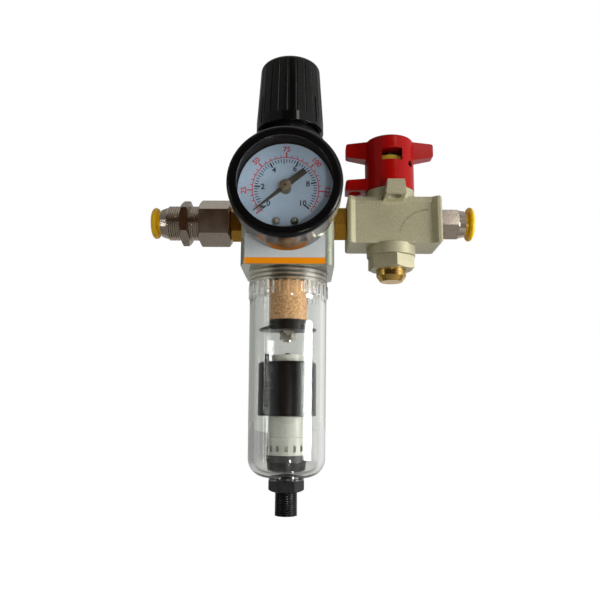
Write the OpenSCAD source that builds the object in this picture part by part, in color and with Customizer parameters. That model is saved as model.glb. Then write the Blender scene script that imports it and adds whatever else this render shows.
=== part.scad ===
// Pneumatic filter-regulator with a clear bowl, an automatic drain, a front gauge,
// a bulkhead push-in inlet and a lock-out valve on the outlet.
// Millimetres, +Z up, +X towards the outlet, the gauge faces -Y.
// The modules are drawn from the crossing of the port axis (X) and the regulator's axis (Z);
// place() then moves everything so that the origin is the seat of the panel thread.

/* [Regulator body] */
// Width of the body between the two port faces
body_w = 41; // [40:0.5:44]
// Depth of the body, front to back
body_d = 40; // [39:0.5:43]
// Height of the body above the port axis
body_rise = 17; // [16.5:0.25:19]
// Depth of the body below the port axis
body_drop = 24; // [23:0.5:26]
// Radius of the vertical corners
body_corner_r = 4; // [2:0.5:5]
// Radius of the pipe threads in the two side ports
port_thread_r = 6.58; // [6.2:0.02:6.8]
// Radius of the gauge port thread, front and back
gauge_thread_r = 4.864; // [4.6:0.002:5]
// Radius of the flow passages
flow_r = 2.5; // [1.5:0.1:3]
// Radius of the valve chamber under the seat
valve_chamber_r = 7; // [6.5:0.1:7.4]
// Radius of the chamber under the diaphragm
diaphragm_chamber_r = 13.5; // [12.5:0.1:14.5]
// Depth of the chamber under the diaphragm
diaphragm_chamber_h = 4.5; // [3.5:0.1:5]
// Height of the valve seat above the port axis
seat_z = 4; // [3:0.1:5]
// Radius of the hole in the valve seat
seat_r = 3; // [2.5:0.1:3.5]
// Thickness of the web that holds the seat
seat_web = 3; // [2:0.1:4]
// Width of the label on the front
label_w = 34.8; // [28:0.1:35.5]
// Height of the label
label_h = 13.5; // [10:0.5:14]
// Thickness of the label plate
label_t = 0.3; // [0.2:0.1:0.6]

/* [Bonnet and knob] */
// Width of the bonnet's square flange
flange_w = 38; // [36:0.5:39]
// Thickness of the flange
flange_t = 5; // [4:0.25:5.5]
// Distance of the bonnet screws from the axis, along X and Y
screw_spread = 15.4; // [15.1:0.1:15.8]
// Radius of the bonnet screw shanks
screw_r = 1.5; // [1.2:0.1:1.8]
// Radius of the bonnet screw heads
screw_head_r = 2.7; // [2.3:0.1:2.9]
// Height of the bonnet screw heads
screw_head_h = 2.4; // [2:0.1:3]
// Radius of the bonnet's shoulder, on which a panel or bracket seats
shoulder_r = 18; // [17.4:0.1:18.6]
// Height of the shoulder above the flange
shoulder_h = 6.5; // [5.5:0.25:8]
// Outer radius of the panel thread
panel_thread_r = 16.5; // [16.3:0.1:16.8]
// Pitch of the panel thread
panel_pitch = 1.5; // [1:0.25:2]
// Number of turns of the panel thread
panel_turns = 8; // [6:1:9]
// Radius of the neck that enters the knob
neck_r = 12.5; // [11.8:0.1:12.8]
// Radius of the spring chamber
spring_chamber_r = 12; // [11.6:0.1:12.6]
// Radius of the knob at its rim
knob_r = 16.1; // [15.6:0.1:16.5]
// Radius of the knob at its top
knob_top_r = 14.35; // [13.5:0.05:15]
// Height of the knob
knob_h = 33.6; // [31:0.1:36]
// Height of the plain band at the knob's rim
knob_band_h = 4.5; // [3:0.5:6]
// Rounding of the knob's top edge
knob_edge_r = 2.2; // [1:0.1:3]
// Depth of the hollow under the knob
knob_hollow_h = 15; // [13:0.5:17]
// Wall of the knob's skirt
knob_wall = 1.8; // [1.4:0.1:2]
// Number of flutes round the knob
knob_flutes = 24; // [12:2:24]
// Radius of the cutter of one flute
flute_r = 0.9; // [0.6:0.1:1.2]
// Depth of one flute
flute_depth = 0.35; // [0.2:0.05:0.5]
// Width of the deep slots in the skirt
skirt_slot_w = 0.9; // [0.6:0.1:1.2]
// Length of the deep slots
skirt_slot_h = 13; // [10:0.5:15]
// Gap between the knob's rim and the panel thread when the knob is locked
knob_gap = 3.3; // [2.8:0.1:4]
// Travel of the knob when it is pulled to unlock
knob_pull = 2.5; // [1.5:0.1:3]
// Radius of the adjusting screw's thread
screw_thread_r = 3; // [2.5:0.1:3.4]
// Radius of the adjusting screw's journal in the neck
journal_r = 4; // [3.8:0.1:4.3]
// Width across the flats of the drive hex under the knob
drive_af = 7.6; // [7:0.1:7.8]
// Length of the drive hex that stays in the knob when it is pulled
drive_grip = 7.5; // [6:0.5:8]
// Travel of the spring seat over the screw's full range
seat_travel = 6; // [4:0.5:7]

/* [Regulating valve] */
// Radius of the regulating spring at its wire
main_spring_r = 8.6; // [7.5:0.1:9.2]
// Radius of the regulating spring's wire
main_wire_r = 1.1; // [0.8:0.1:1.2]
// Turns of the regulating spring
main_spring_turns = 4; // [3:1:4]
// Thickness of the diaphragm
diaphragm_t = 1.2; // [0.8:0.1:1.6]
// Radius of the diaphragm plate
plate_r = 10.5; // [9.8:0.1:11]
// Thickness of the diaphragm plate
plate_t = 2.2; // [1.5:0.1:2.6]
// Stroke of the valve stem
stem_stroke = 1.2; // [0.8:0.1:1.5]
// Radius of the valve stem
stem_r = 1.5; // [1.2:0.1:1.8]
// Radius of the poppet
poppet_r = 5.1; // [4.5:0.1:5.6]
// Thickness of the poppet
poppet_t = 2.7; // [2:0.1:3]
// Radius of the poppet's tail
tail_r = 2; // [1.7:0.1:2.2]

/* [Filter and bowl] */
// Radius of the bowl's screw thread
bowl_thread_r = 18; // [17.7:0.1:18.2]
// Pitch of the bowl's thread
bowl_pitch = 2; // [1.5:0.25:2]
// Turns of the bowl's thread that show under the body
bowl_turns = 3; // [2:1:3]
// Depth of the bowl's socket in the body
socket_h = 11; // [10:0.25:11.5]
// Radius of the bowl under its grip ribs
bowl_top_r = 17.55; // [17:0.05:17.7]
// Radius of the bowl near its floor
bowl_low_r = 17; // [16.2:0.05:17.2]
// Wall of the bowl
bowl_wall = 2.4; // [2:0.1:2.8]
// Height of the band of grip ribs
rib_band_h = 6.4; // [5:0.2:8]
// Number of grip ribs
rib_count = 30; // [24:2:40]
// Radius of one grip rib
rib_r = 0.5; // [0.3:0.05:0.55]
// Depth of the bowl's foot below the body
bowl_drop = 90.6; // [88:0.2:95]
// Rounding of the bowl's foot
bowl_foot_r = 8; // [6:0.5:9]
// Radius of the boss under the bowl
bowl_boss_r = 7.8; // [7.3:0.1:9]
// Height of the boss
bowl_boss_h = 1.4; // [1:0.1:2]
// Outer radius of the filter element
element_r = 8.65; // [8:0.05:9.2]
// Wall of the filter element
element_wall = 2.9; // [2:0.1:3.2]
// Length of the filter element
element_h = 17; // [15:0.5:19]
// Length of the deflector's sleeve above the element
deflector_h = 16; // [14:0.5:17]
// Radius of the deflector's vane plate
deflector_r = 10.4; // [9.8:0.1:10.8]
// Height of the element retainer
retainer_h = 4.7; // [4:0.1:6]
// Radius of the baffle under the element
baffle_r = 13; // [11:0.25:13.4]
// Thickness of the baffle
baffle_t = 2.4; // [1:0.1:3]
// Radius of the element stud
stud_r = 2; // [1.7:0.1:2.2]
// Width across the flats of the stud's nut
stud_nut_af = 6.4; // [5.5:0.1:7]
// Height of each of the stud's two nuts
stud_nut_h = 2.1; // [1.5:0.1:2.5]

/* [Automatic drain] */
// Radius of the drain float
float_r = 13; // [12:0.1:13.4]
// Height of the drain float
float_h = 23.4; // [21:0.2:25]
// Lift of the drain float
float_lift = 3.5; // [2:0.1:4]
// Radius of the guide tube inside the housing
guide_r = 5.1; // [5.05:0.05:5.5]
// Radius of the guide tube inside the float
guide_top_r = 7.1; // [6.5:0.1:7.5]
// Radius of the drain housing
housing_r = 9; // [8.7:0.1:9.6]
// Height of the drain housing
housing_h = 16.4; // [15:0.2:18]
// Thickness of the base seal
base_seal_t = 3; // [2:0.1:3.5]
// Radius of the drain spigot's inner flange
spigot_flange_r = 8.6; // [7.5:0.1:8.8]
// Radius of the drain thread
drain_thread_r = 4.864; // [4.6:0.002:5]
// Pitch of the drain thread
drain_pitch = 0.907; // [0.8:0.001:1.2]
// Turns of the drain thread that show under the nut
drain_turns = 11; // [8:1:12]
// Radius of the drain's outlet hole
drain_hole_r = 2.2; // [1.6:0.1:2.6]
// Width across the flats of the drain nut
drain_nut_af = 13.5; // [13:0.1:15]
// Height of the drain nut
drain_nut_h = 4.6; // [4:0.1:5.5]

/* [Gauge] */
// Gap between the gauge case and the body
gauge_gap = 7.5; // [6:0.25:9]
// Width across the flats of the gauge socket's hex
socket_af = 12; // [11:0.25:13]
// Radius of the gauge case
case_r = 20.5; // [20.1:0.1:21]
// Wall of the gauge case
case_wall = 1; // [0.8:0.1:1.2]
// Depth of the gauge case
case_depth = 18.5; // [18:0.25:20]
// Outer radius of the bezel
bezel_r = 22.25; // [21.8:0.05:23]
// Depth of the bezel
bezel_depth = 12; // [11.5:0.25:13]
// Radius of the bezel's opening
bezel_opening_r = 18.35; // [17.5:0.05:18.8]
// Thickness of the bezel's front lip
bezel_lip = 1.2; // [0.8:0.1:1.6]
// How far the bezel overlaps the case
bezel_overlap = 2; // [1.5:0.1:2.5]
// Thickness of the lens
lens_t = 1.5; // [1:0.1:2]
// Radius of the dial
dial_r = 18.9; // [18.4:0.1:19]
// Thickness of the dial
dial_t = 0.6; // [0.4:0.1:0.8]
// Distance from the dial's face to the bezel's front
dial_recess = 10.4; // [10:0.1:10.8]
// Length of the pointer from its hub to its tip
pointer_len = 15.8; // [14:0.1:16]
// Length of the pointer's tail
pointer_tail = 9.9; // [7:0.1:11]
// Width of the pointer's tail
pointer_tail_w = 2.5; // [1.6:0.1:2.8]
// Radius of the pointer's hub
hub_r = 2.15; // [1.8:0.05:2.4]
// Sweep of the pointer, in degrees
pointer_sweep = 270; // [260:5:280]
// Angle of the pointer at rest, in degrees to the left of the top
pointer_rest = 129; // [125:1:135]
// Radius of the dial screw heads
dial_screw_r = 1.7; // [1.3:0.1:1.8]
// Half the distance between the dial screws
dial_screw_x = 3.6; // [3.2:0.1:4]
// Drop of the dial screws below the dial's centre
dial_screw_drop = 13.2; // [13:0.1:14]
// Distance of the stop pin from the dial's centre
stop_pin_dist = 12.6; // [11:0.1:13]
// Module of the pinion and the sector
gear_module = 0.4; // [0.38:0.01:0.42]
// Teeth of the pinion
pinion_teeth = 8; // [8:1:9]
// Teeth of a whole wheel of the sector's size
sector_teeth = 40; // [39:1:41]
// Radius of the Bourdon tube's bend
bourdon_r = 15; // [14.5:0.1:16]

/* [Inlet side] */
// Width across the flats of the brass nipples
nipple_af = 14.75; // [13:0.25:16]
// Length of the left nipple's hex
inlet_nipple_h = 6.3; // [5:0.1:8]
// Length of a nipple's threaded ends
nipple_end_h = 9; // [8:0.25:9.5]
// Radius of the bore in the nipples
nipple_bore_r = 3.5; // [3:0.1:4.5]
// Width across the flats of the bulkhead connector's hex
bulkhead_af = 19; // [18:0.25:21]
// Length of the bulkhead connector's hex
bulkhead_hex_h = 14.5; // [13:0.25:17]
// Radius of the bulkhead thread
bulkhead_thread_r = 8; // [7.8:0.05:8.3]
// Pitch of the bulkhead thread
bulkhead_pitch = 1; // [0.75:0.05:1.2]
// Turns of the bulkhead thread
bulkhead_turns = 15; // [13:1:17]
// Length of the tapered nose
bulkhead_nose_h = 3; // [1.5:0.1:3.5]
// Radius of the nose's end
bulkhead_nose_r = 6.4; // [6.2:0.1:7]
// Width across the flats of the lock nut
lock_nut_af = 18.8; // [18:0.1:20]
// Thickness of the lock nut
lock_nut_t = 3.8; // [3:0.1:5]
// Distance of the lock nut from the connector's hex
lock_nut_gap = 4.6; // [4:0.1:8]

/* [Push-in fittings] */
// Radius of the bore that takes the tube
tube_r = 4.05; // [4.02:0.01:4.1]
// Outer radius of the release collar's sleeve
sleeve_r = 5; // [4.8:0.05:5.2]
// Length of the release collar's sleeve inside the fitting
sleeve_h = 6; // [5:0.25:7]
// Radius of the inlet collar's flange
inlet_flange_r = 7.25; // [7:0.05:7.6]
// Thickness of the inlet collar's flange
inlet_flange_t = 2.8; // [2:0.1:5.5]
// Radius of the outlet collar's flange
outlet_flange_r = 7.9; // [7:0.1:8.5]
// Thickness of the outlet collar's flange
outlet_flange_t = 2.2; // [1.8:0.1:6]
// Travel of a release collar when it is pressed
collar_press = 1.2; // [0.8:0.1:1.3]
// Gap behind a release collar's flange at rest
collar_gap = 1.5; // [1.4:0.1:2]
// Length of the collet's grip ring
collet_h = 1.6; // [1.2:0.1:2]
// Length of the tube seal
tube_seal_h = 2; // [1.5:0.1:2.4]

/* [Shut-off valve] */
// Length of the right nipple's hex
outlet_nipple_h = 6.3; // [4:0.1:7]
// Length of the valve body along the port axis
valve_w = 42.8; // [42:0.1:46]
// Depth of the valve body, front to back
valve_d = 22; // [22:0.5:25]
// Height of the valve body above the port axis
valve_rise = 10.3; // [9.2:0.1:10.5]
// Depth of the valve body below the port axis
valve_drop = 11.4; // [11:0.1:13]
// Distance from the valve body's left face to the handle's axis
handle_offset = 20.6; // [20:0.1:22]
// Depth of the recess in the valve body's front
front_recess = 2; // [1:0.1:2.4]
// Width of the end flange next to the regulator
left_rim_w = 1.6; // [1.2:0.1:3]
// Width of the end flange at the outlet
right_rim_w = 2.2; // [1.5:0.1:4.5]
// Radius of the collar under the handle
collar_r = 11.5; // [11:0.1:12]
// Height of the collar
collar_h = 4.5; // [4:0.1:6]
// Width of the padlock ear
ear_w = 9; // [8:0.25:11]
// Reach of the padlock ear in front of the handle's axis
ear_reach = 21; // [20.6:0.1:22]
// Height of the padlock ear
ear_h = 6.5; // [5:0.1:6.8]
// Distance of the padlock hole from the handle's axis
lock_hole_dist = 16.5; // [16.2:0.1:16.8]
// Radius of the padlock hole
lock_hole_r = 2.9; // [2.5:0.1:3]
// Radius of the boss under the valve body
boss_r = 11.15; // [10.8:0.05:11.8]
// Height of the boss
boss_h = 4.6; // [4:0.1:7]
// Radius of the spool's bore
spool_bore_r = 6; // [5.6:0.1:6.2]
// Radius of the exhaust chamber under the spool
exhaust_chamber_r = 8; // [7.6:0.1:8.4]
// Stroke of the spool
spool_stroke = 4.4; // [4:0.1:4.6]
// Radius of the passages between the ports and the spool
spool_port_r = 1.6; // [1.2:0.1:1.7]
// Height of the passages above and below the port axis
spool_port_z = 2.5; // [2.2:0.1:2.6]
// Width across the flats of the exhaust plug
plug_af = 19; // [18:0.25:21]
// Height of the exhaust plug's hex
plug_h = 6.1; // [5:0.1:8]
// Radius of the silencer at the plug
silencer_r = 6.8; // [6.4:0.1:7.2]
// Radius of the silencer's end
silencer_end_r = 5; // [4.4:0.1:5.6]
// Length of the silencer
silencer_h = 5.5; // [4:0.1:8]

/* [Handle] */
// Radius of the handle's barrel
handle_r = 11.5; // [11:0.1:12]
// Height of the handle's barrel
handle_h = 25; // [24:0.5:27]
// Wall of the handle's barrel
handle_wall = 2.5; // [2.2:0.1:2.8]
// Thickness of the handle's top
handle_top_t = 6; // [5:0.25:7]
// Reach of the wings from the axis
wing_reach = 20.7; // [19.5:0.1:22]
// Height of the wings at the barrel
wing_h = 9.2; // [8:0.1:10]
// Height of the wings at their tips
wing_tip_h = 6.8; // [6:0.1:7.8]
// Thickness of the wings at the barrel
wing_t = 7; // [5.5:0.1:8]
// Thickness of the wings at their tips
wing_tip_t = 4.6; // [3.5:0.1:5.2]
// Reach of the locking lug from the axis
lug_reach = 21; // [20.6:0.1:22]
// Height of the locking lug
lug_h = 5.8; // [5:0.1:6.5]
// Width of the locking lug
lug_w = 9.6; // [9:0.1:11]
// Width of the window
window_w = 9.3; // [8:0.1:10]
// Height of the window
window_h = 5.8; // [5:0.1:6.2]
// Height of the window's lower edge above the handle's rim
window_z = 12.7; // [12:0.1:13]
// Height of the indicator's edge above the window's lower edge
indicator_rise = 3.2; // [2:0.1:4]
// Radius of the shut-off stem
shaft_r = 4; // [3.6:0.1:4.4]
// Radius of the detent screw in the handle's side
detent_r = 1.5; // [1.2:0.1:1.8]
// Angle of the detent screw in front of the outlet side, in degrees
detent_angle = 40; // [10:1:50]

/* [Outlet side] */
// Width across the flats of the outlet connector
outlet_af = 13.6; // [13.2:0.1:16]
// Length of the outlet connector's hex
outlet_hex_h = 8.6; // [7:0.1:9.5]
// Length of the outlet connector's nose
outlet_nose_h = 3.3; // [1:0.1:4]
// Radius of the nose's end
outlet_nose_r = 6.1; // [5.9:0.05:6.4]
// Length of the outlet connector's thread
outlet_thread_h = 9; // [8:0.25:9.5]

/* [Clearances] */
// Radial clearance of a running fit
running = 0.05; // [0.03:0.01:0.08]
// Clearance between fixed pieces
seated = 0.05; // [0.02:0.01:0.1]
// Clearance between pieces that pass each other
passing = 0.3; // [0.3:0.05:0.5]

/* [Hidden] */
$fn = 64;

// How far a cutter runs past the face that it opens
cut = 1;
// How far two shapes of one piece run into each other
merge = 0.5;
// Parts of one thread pitch: end of the crest, start and end of the root
crest_end = 0.4;
root_start = 0.62;
root_end = 0.78;
panel_thread_depth = 0.8;
screw_thread_depth = 0.5;
screw_pitch = 1;
bowl_thread_depth = 0.7;
drain_thread_depth = 0.5;
bulkhead_thread_depth = 0.55;

// Heights on the regulator's axis, from the port axis
body_top = body_rise;
body_low = -body_drop;
socket_top = body_low + socket_h;
chamber_floor = body_top - diaphragm_chamber_h;
flange_low = body_top + diaphragm_t;
flange_top = flange_low + flange_t;
panel_z = flange_top + shoulder_h;
panel_thread_h = panel_turns * panel_pitch;
thread_top = panel_z + panel_thread_h;
thread_chamfer = 0.7;
knob_z = thread_top + knob_gap;
neck_top = knob_z + knob_hollow_h - 2 * passing;
web_drop = 1;
web_low = knob_z - web_drop;
thrust_h = 2.6;
thrust_r = 6;
thrust_low = web_low - passing - thrust_h;
seat_plate_t = 3;
chamber_roof = 2;
chamber_top = thread_top - chamber_roof;
seat_plate_top = chamber_top - passing;
seat_plate_low = seat_plate_top - seat_plate_t;
plate_low = flange_low + 2 * seated;
plate_top = plate_low + plate_t;
seat_hub_h = 2;
screw_spare = 5.9;
screw_end = seat_plate_low - seat_hub_h - seat_travel - screw_spare;
drive_low = neck_top + passing;
drive_h = drive_grip + knob_pull;
hollow_top = knob_z + knob_hollow_h;
stem_top = body_top - passing;
plate_hub_low = stem_top + 2 * seated;
plate_hub_r = 2.4;
poppet_top = seat_z - 2 * seated;
poppet_low = poppet_top - poppet_t;
guide_neck_top = -6;
guide_disc_t = 3.5;
tail_engagement = 2.5;
tail_low = guide_neck_top - tail_engagement;
tail_room = 1;
stud_top = tail_low - stem_stroke - tail_room;

// Heights of the filter and the bowl
deflector_plate_t = 2.5;
deflector_top = socket_top - seated;
element_top = deflector_top - deflector_h;
element_low = element_top - element_h;
retainer_low = element_low - retainer_h;
stud_nut_top = retainer_low - seated;
stud_tip_h = 0.9;
stud_low = stud_nut_top - 2 * stud_nut_h - stud_tip_h;
seal_r = 0.9;
bowl_top = socket_top - 2 * seal_r - seated;
bowl_thread_play = 0.2;
bowl_socket_r = bowl_thread_r + bowl_thread_play;
rib_top = body_low - bowl_turns * bowl_pitch;
rib_low = rib_top - rib_band_h;
bowl_foot = body_low - bowl_drop;
bowl_floor = bowl_foot + bowl_wall;
boss_low = bowl_foot - bowl_boss_h;
bowl_in_top_r = bowl_top_r - bowl_wall;
bowl_in_low_r = bowl_low_r - bowl_wall;
foot_in_r = bowl_foot_r - bowl_wall;

// Heights of the drain
spigot_flange_t = 4;
spigot_flange_top = bowl_floor + seated + spigot_flange_t;
base_seal_low = spigot_flange_top + seated;
base_seal_top = base_seal_low + base_seal_t;
housing_low = base_seal_top + seated;
housing_top = housing_low + housing_h;
float_play = 0.2;
float_low = housing_top + float_play;
float_top = float_low + float_h;
guide_short = 0.3;
guide_top = float_top + float_lift - guide_short;
guide_root = 4;
guide_low = housing_low + guide_root;
guide_cap_t = 1.6;
drain_nut_top = boss_low - seated;
drain_nut_low = drain_nut_top - drain_nut_h;
drain_end = drain_nut_low - drain_turns * drain_pitch;
drain_shank_step = 0.3;
drain_shank_r = drain_thread_r - drain_shank_step;
drain_bore_r = drain_shank_r + seated;

// Distances in front of the regulator's axis, for the gauge
body_front = body_d / 2;
case_back = body_front + gauge_gap;
case_front = case_back + case_depth;
bezel_back = case_front - bezel_overlap;
bezel_front = bezel_back + bezel_depth;
lens_front = bezel_front - bezel_lip - seated;
lens_back = lens_front - lens_t;
dial_front = bezel_front - dial_recess;
dial_back = dial_front - dial_t;
lens_lap = 1.2;
lens_r = bezel_opening_r + lens_lap;
socket_neck_r = 4.5;
socket_block_h = 9;
rear_plate_back = case_back + socket_block_h;
plate_t_gauge = 1.2;
dial_post_h = 2.2;
front_plate_front = dial_back - dial_post_h;
dial_post_r = 1.3;
dial_shank_r = 0.8;
stop_pin_r = 0.5;
stop_pin_lead = 4;
front_plate_back = front_plate_front - plate_t_gauge;
gear_lift = 1.2;
gear_back = rear_plate_back + plate_t_gauge + gear_lift;
gear_t = 1.8;
arbor_r = 0.6;
pointer_lift = 3.4;
pointer_play = 0.6;
pointer_back = dial_front + pointer_lift;
pointer_t = 0.5;
hub_t = 1.5;
pinion_r = gear_module * pinion_teeth / 2;
sector_r = gear_module * sector_teeth / 2;
gear_distance = pinion_r + sector_r;
sector_sweep = pointer_sweep * pinion_teeth / sector_teeth;
tooth_w = 0.42;
tooth_top = 0.75 * gear_module;
tooth_root = gear_module;

// Turn of the hexes on each side, about the port axis
inlet_turn = -9;
outlet_turn = -13;

// Distances along the port axis
port_face = body_w / 2;
port_depth = 11;
nipple_face = port_face + seated;
inlet_hex_end = nipple_face + inlet_nipple_h;
bulkhead_face = inlet_hex_end + seated;
bulkhead_hex_end = bulkhead_face + bulkhead_hex_h;
bulkhead_thread_end = bulkhead_hex_end + bulkhead_turns * bulkhead_pitch;
bulkhead_end = bulkhead_thread_end + bulkhead_nose_h;
inlet_collar_face = bulkhead_end + collar_gap;
valve_face = nipple_face + outlet_nipple_h + seated;
handle_x = valve_face + handle_offset;
valve_end = valve_face + valve_w;
outlet_face = valve_end + seated;
outlet_hex_end = outlet_face + outlet_hex_h;
outlet_end = outlet_hex_end + outlet_nose_h;
outlet_collar_face = outlet_end + collar_gap;
fitting_bore_r = sleeve_r + running;
sleeve_room = sleeve_h + collar_press + passing;
collet_room = collet_h + 2 * seated;
seal_room = tube_seal_h + 2 * seated;
cavity_h = sleeve_room + collet_room + seal_room;
tube_stop_h = 2;

// Heights on the handle's axis
collar_top = valve_rise + collar_h;
handle_z = collar_top + passing;
handle_top = handle_z + handle_h;
cap_low = handle_top - handle_top_t;
window_low = handle_z + window_z;
indicator_top = window_low + indicator_rise;
indicator_r = handle_r - handle_wall - passing;
boss_low_z = -valve_drop - boss_h;
plug_low = boss_low_z - seated - plug_h;
silencer_low = plug_low - seated - silencer_h;
silencer_neck_r = silencer_end_r - 0.45;
spool_tail_short = 0.9;
spool_bore_tail = spool_stroke - spool_tail_short;
spool_bore_low = -spool_port_z - spool_port_r - spool_bore_tail;
land_gap = spool_port_z + spool_port_r + passing;
spool_top_gap = 0.4;
land_a_top = valve_rise - spool_top_gap;
land_b_h = 2.7;
land_b_low = -land_gap - land_b_h;
spool_tip_h = 1;
spool_low = land_b_low - spool_tip_h;
seal_groove_h = 1.2;
seal_groove_d = 0.9;
land_b_groove = land_b_low + 0.7;
land_a_groove = land_gap + 1;
shaft_low = land_a_top + passing;
plug_spigot_h = 2.1;
spring_seat_gap = 0.2;
spring_low = boss_low_z + plug_spigot_h + spring_seat_gap;
ear_drop = 0.4;
ear_top = collar_top - ear_drop;
handle_recess = 2;
detent_z = 12;

// Shared shapes

// Moves the model so that the origin is the seat of the panel thread
module place() {
    translate([0, 0, -panel_z]) children();
}

// Turns a shape drawn up +Z so that it runs along +X from x
module along_outlet(x) {
    translate([x, 0, 0]) rotate([0, 90, 0]) children();
}

// Turns a shape drawn up +Z so that it runs along -X from -x
module along_inlet(x) {
    translate([-x, 0, 0]) rotate([0, -90, 0]) children();
}

// Turns a shape drawn up +Z so that it faces the front, with its own Y upwards
module facing_front() {
    rotate([90, 0, 0]) children();
}

// Radius to the corners of a hexagon
function hex_r(af) = af / 2 / cos(30);

// Points of a quarter arc, from one angle to another
function arc(cx, cy, r, from, to, steps) =
    [for (i = [0 : steps]) let (a = from + (to - from) * i / steps) [cx + r * cos(a), cy + r * sin(a)]];

// Outline of a ring thread, from its lower end upwards
function thread_outline(r, depth, pitch, turns) = [
    for (i = [0 : turns - 1])
        each [
            [r, i * pitch],
            [r, (i + crest_end) * pitch],
            [r - depth, (i + root_start) * pitch],
            [r - depth, (i + root_end) * pitch]
        ]
];

// Solid rod with a ring thread, from z = 0 upwards
module threaded_rod(r, depth, pitch, turns) {
    top = turns * pitch;
    rotate_extrude()
        polygon(concat([[0, 0]], thread_outline(r, depth, pitch, turns), [[r - depth, top], [0, top]]));
}

// Plain ring from z = 0 upwards
module ring(outer, inner, h) {
    rotate_extrude() translate([inner, 0]) square([outer - inner, h]);
}

// Square plate with round corners
module rounded_plate(w, d, r, h) {
    linear_extrude(h) {
        square([w - 2 * r, d], center = true);
        square([w, d - 2 * r], center = true);
        for (x = [-1, 1], y = [-1, 1])
            translate([x * (w / 2 - r), y * (d / 2 - r)]) circle(r);
    }
}

// Hexagon bar whose ends are turned down by a chamfer
module hex_bar(af, h, low_cut, high_cut) {
    corner = hex_r(af);
    slope = 0.5;
    spare = 1;
    wide = corner + spare;
    intersection() {
        cylinder(r = corner, h = h, $fn = 6);
        rotate_extrude()
            polygon([
                [0, 0], [corner - low_cut, 0], [wide, (low_cut + spare) * slope],
                [wide, h - (high_cut + spare) * slope], [corner - high_cut, h], [0, h]
            ]);
    }
}

// Ring of round section
module o_ring(r, section) {
    rotate_extrude() translate([r, 0]) circle(section);
}

// Coil spring from z = 0 upwards: one tube of six sides along a helix
coil_steps = 8;
coil_sides = 6;
function coil_point(r, turns, h, i) =
    let (a = 360 * i / coil_steps) [r * cos(a), r * sin(a), h * i / (turns * coil_steps)];
module coil_spring(r, wire, turns, height) {
    rise = height - 2 * wire;
    last = turns * coil_steps;
    points = [
        for (i = [0 : last], k = [0 : coil_sides - 1])
            let (
                a = 360 * i / coil_steps,
                b = 360 * k / coil_sides,
                c = coil_point(r, turns, rise, i),
                out = wire * cos(b)
            ) [c[0] + out * cos(a), c[1] + out * sin(a), c[2] + wire + wire * sin(b)]
    ];
    sides = [
        for (i = [0 : last - 1], k = [0 : coil_sides - 1])
            let (p = i * coil_sides + k, q = i * coil_sides + (k + 1) % coil_sides)
                each [[p, q, p + coil_sides], [q, q + coil_sides, p + coil_sides]]
    ];
    ends = [
        for (k = [1 : coil_sides - 2])
            each [[0, k + 1, k], [last * coil_sides, last * coil_sides + k, last * coil_sides + k + 1]]
    ];
    echo(coil_gap = rise / turns - 2 * wire);
    polyhedron(points, concat(sides, ends));
}

// Regulator body and what is fixed to it

module regulator_body() {
    port_bore = port_thread_r + seated;
    gauge_bore = gauge_thread_r + seated;
    passage_inset = 0.5;
    rise_x = port_face - port_depth + flow_r + passage_inset;
    gauge_port_depth = 10;
    gauge_passage_r = 1;
    gauge_passage_inset = 1.2;
    screw_hole_h = 12;
    color("#8f9380") difference() {
        translate([0, 0, body_low]) rounded_plate(body_w, body_d, body_corner_r, body_rise + body_drop);
        // Bowl socket, valve chamber, seat and diaphragm chamber
        translate([0, 0, body_low - cut]) cylinder(r = bowl_socket_r, h = socket_h + cut);
        translate([0, 0, socket_top - cut]) cylinder(r = valve_chamber_r, h = seat_z - socket_top + cut);
        translate([0, 0, seat_z - cut]) cylinder(r = seat_r, h = seat_web + 2 * cut);
        translate([0, 0, seat_z + seat_web]) cylinder(r = poppet_r, h = body_top);
        translate([0, 0, chamber_floor]) cylinder(r = diaphragm_chamber_r, h = body_top);
        // Side ports, with their passages to the bowl and to the diaphragm chamber
        for (side = [-1, 1])
            rotate([0, side * 90, 0]) translate([0, 0, port_face - port_depth])
                cylinder(r = port_bore, h = port_depth + cut);
        translate([-rise_x, 0, socket_top - cut]) cylinder(r = flow_r, h = -socket_top + cut);
        translate([rise_x, 0, 0]) cylinder(r = flow_r, h = chamber_floor + cut);
        // Gauge ports, front and back, with their passages up to the diaphragm chamber
        for (side = [-1, 1]) {
            rotate([side * 90, 0, 0]) translate([0, 0, body_front - gauge_port_depth])
                cylinder(r = gauge_bore, h = gauge_port_depth + cut);
            translate([0, side * (body_front - gauge_port_depth + gauge_passage_inset), 0])
                cylinder(r = gauge_passage_r, h = chamber_floor + cut);
        }
        // Holes of the bonnet screws
        for (x = [-1, 1], y = [-1, 1])
            translate([x * screw_spread, y * screw_spread, body_top - screw_hole_h])
                cylinder(r = screw_r + seated, h = screw_hole_h + cut);
    }
}

module front_label() {
    label_shift = -1;
    label_lift = 0.1;
    color("#b4b8ba")
        translate([label_shift - label_w / 2, -body_front - seated - label_t, body_low + label_lift])
            cube([label_w, label_t, label_h]);
}

module rear_port_plug() {
    key_af = 5;
    key_depth = 3.6;
    plug_len = 7.6;
    plug_sink = 0.4;
    color("#a9a9a4") rotate([-90, 0, 0]) translate([0, 0, body_front - plug_sink - plug_len]) difference() {
        cylinder(r = gauge_thread_r, h = plug_len);
        translate([0, 0, plug_len - key_depth]) cylinder(r = hex_r(key_af), h = key_depth + cut, $fn = 6);
    }
}

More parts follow.
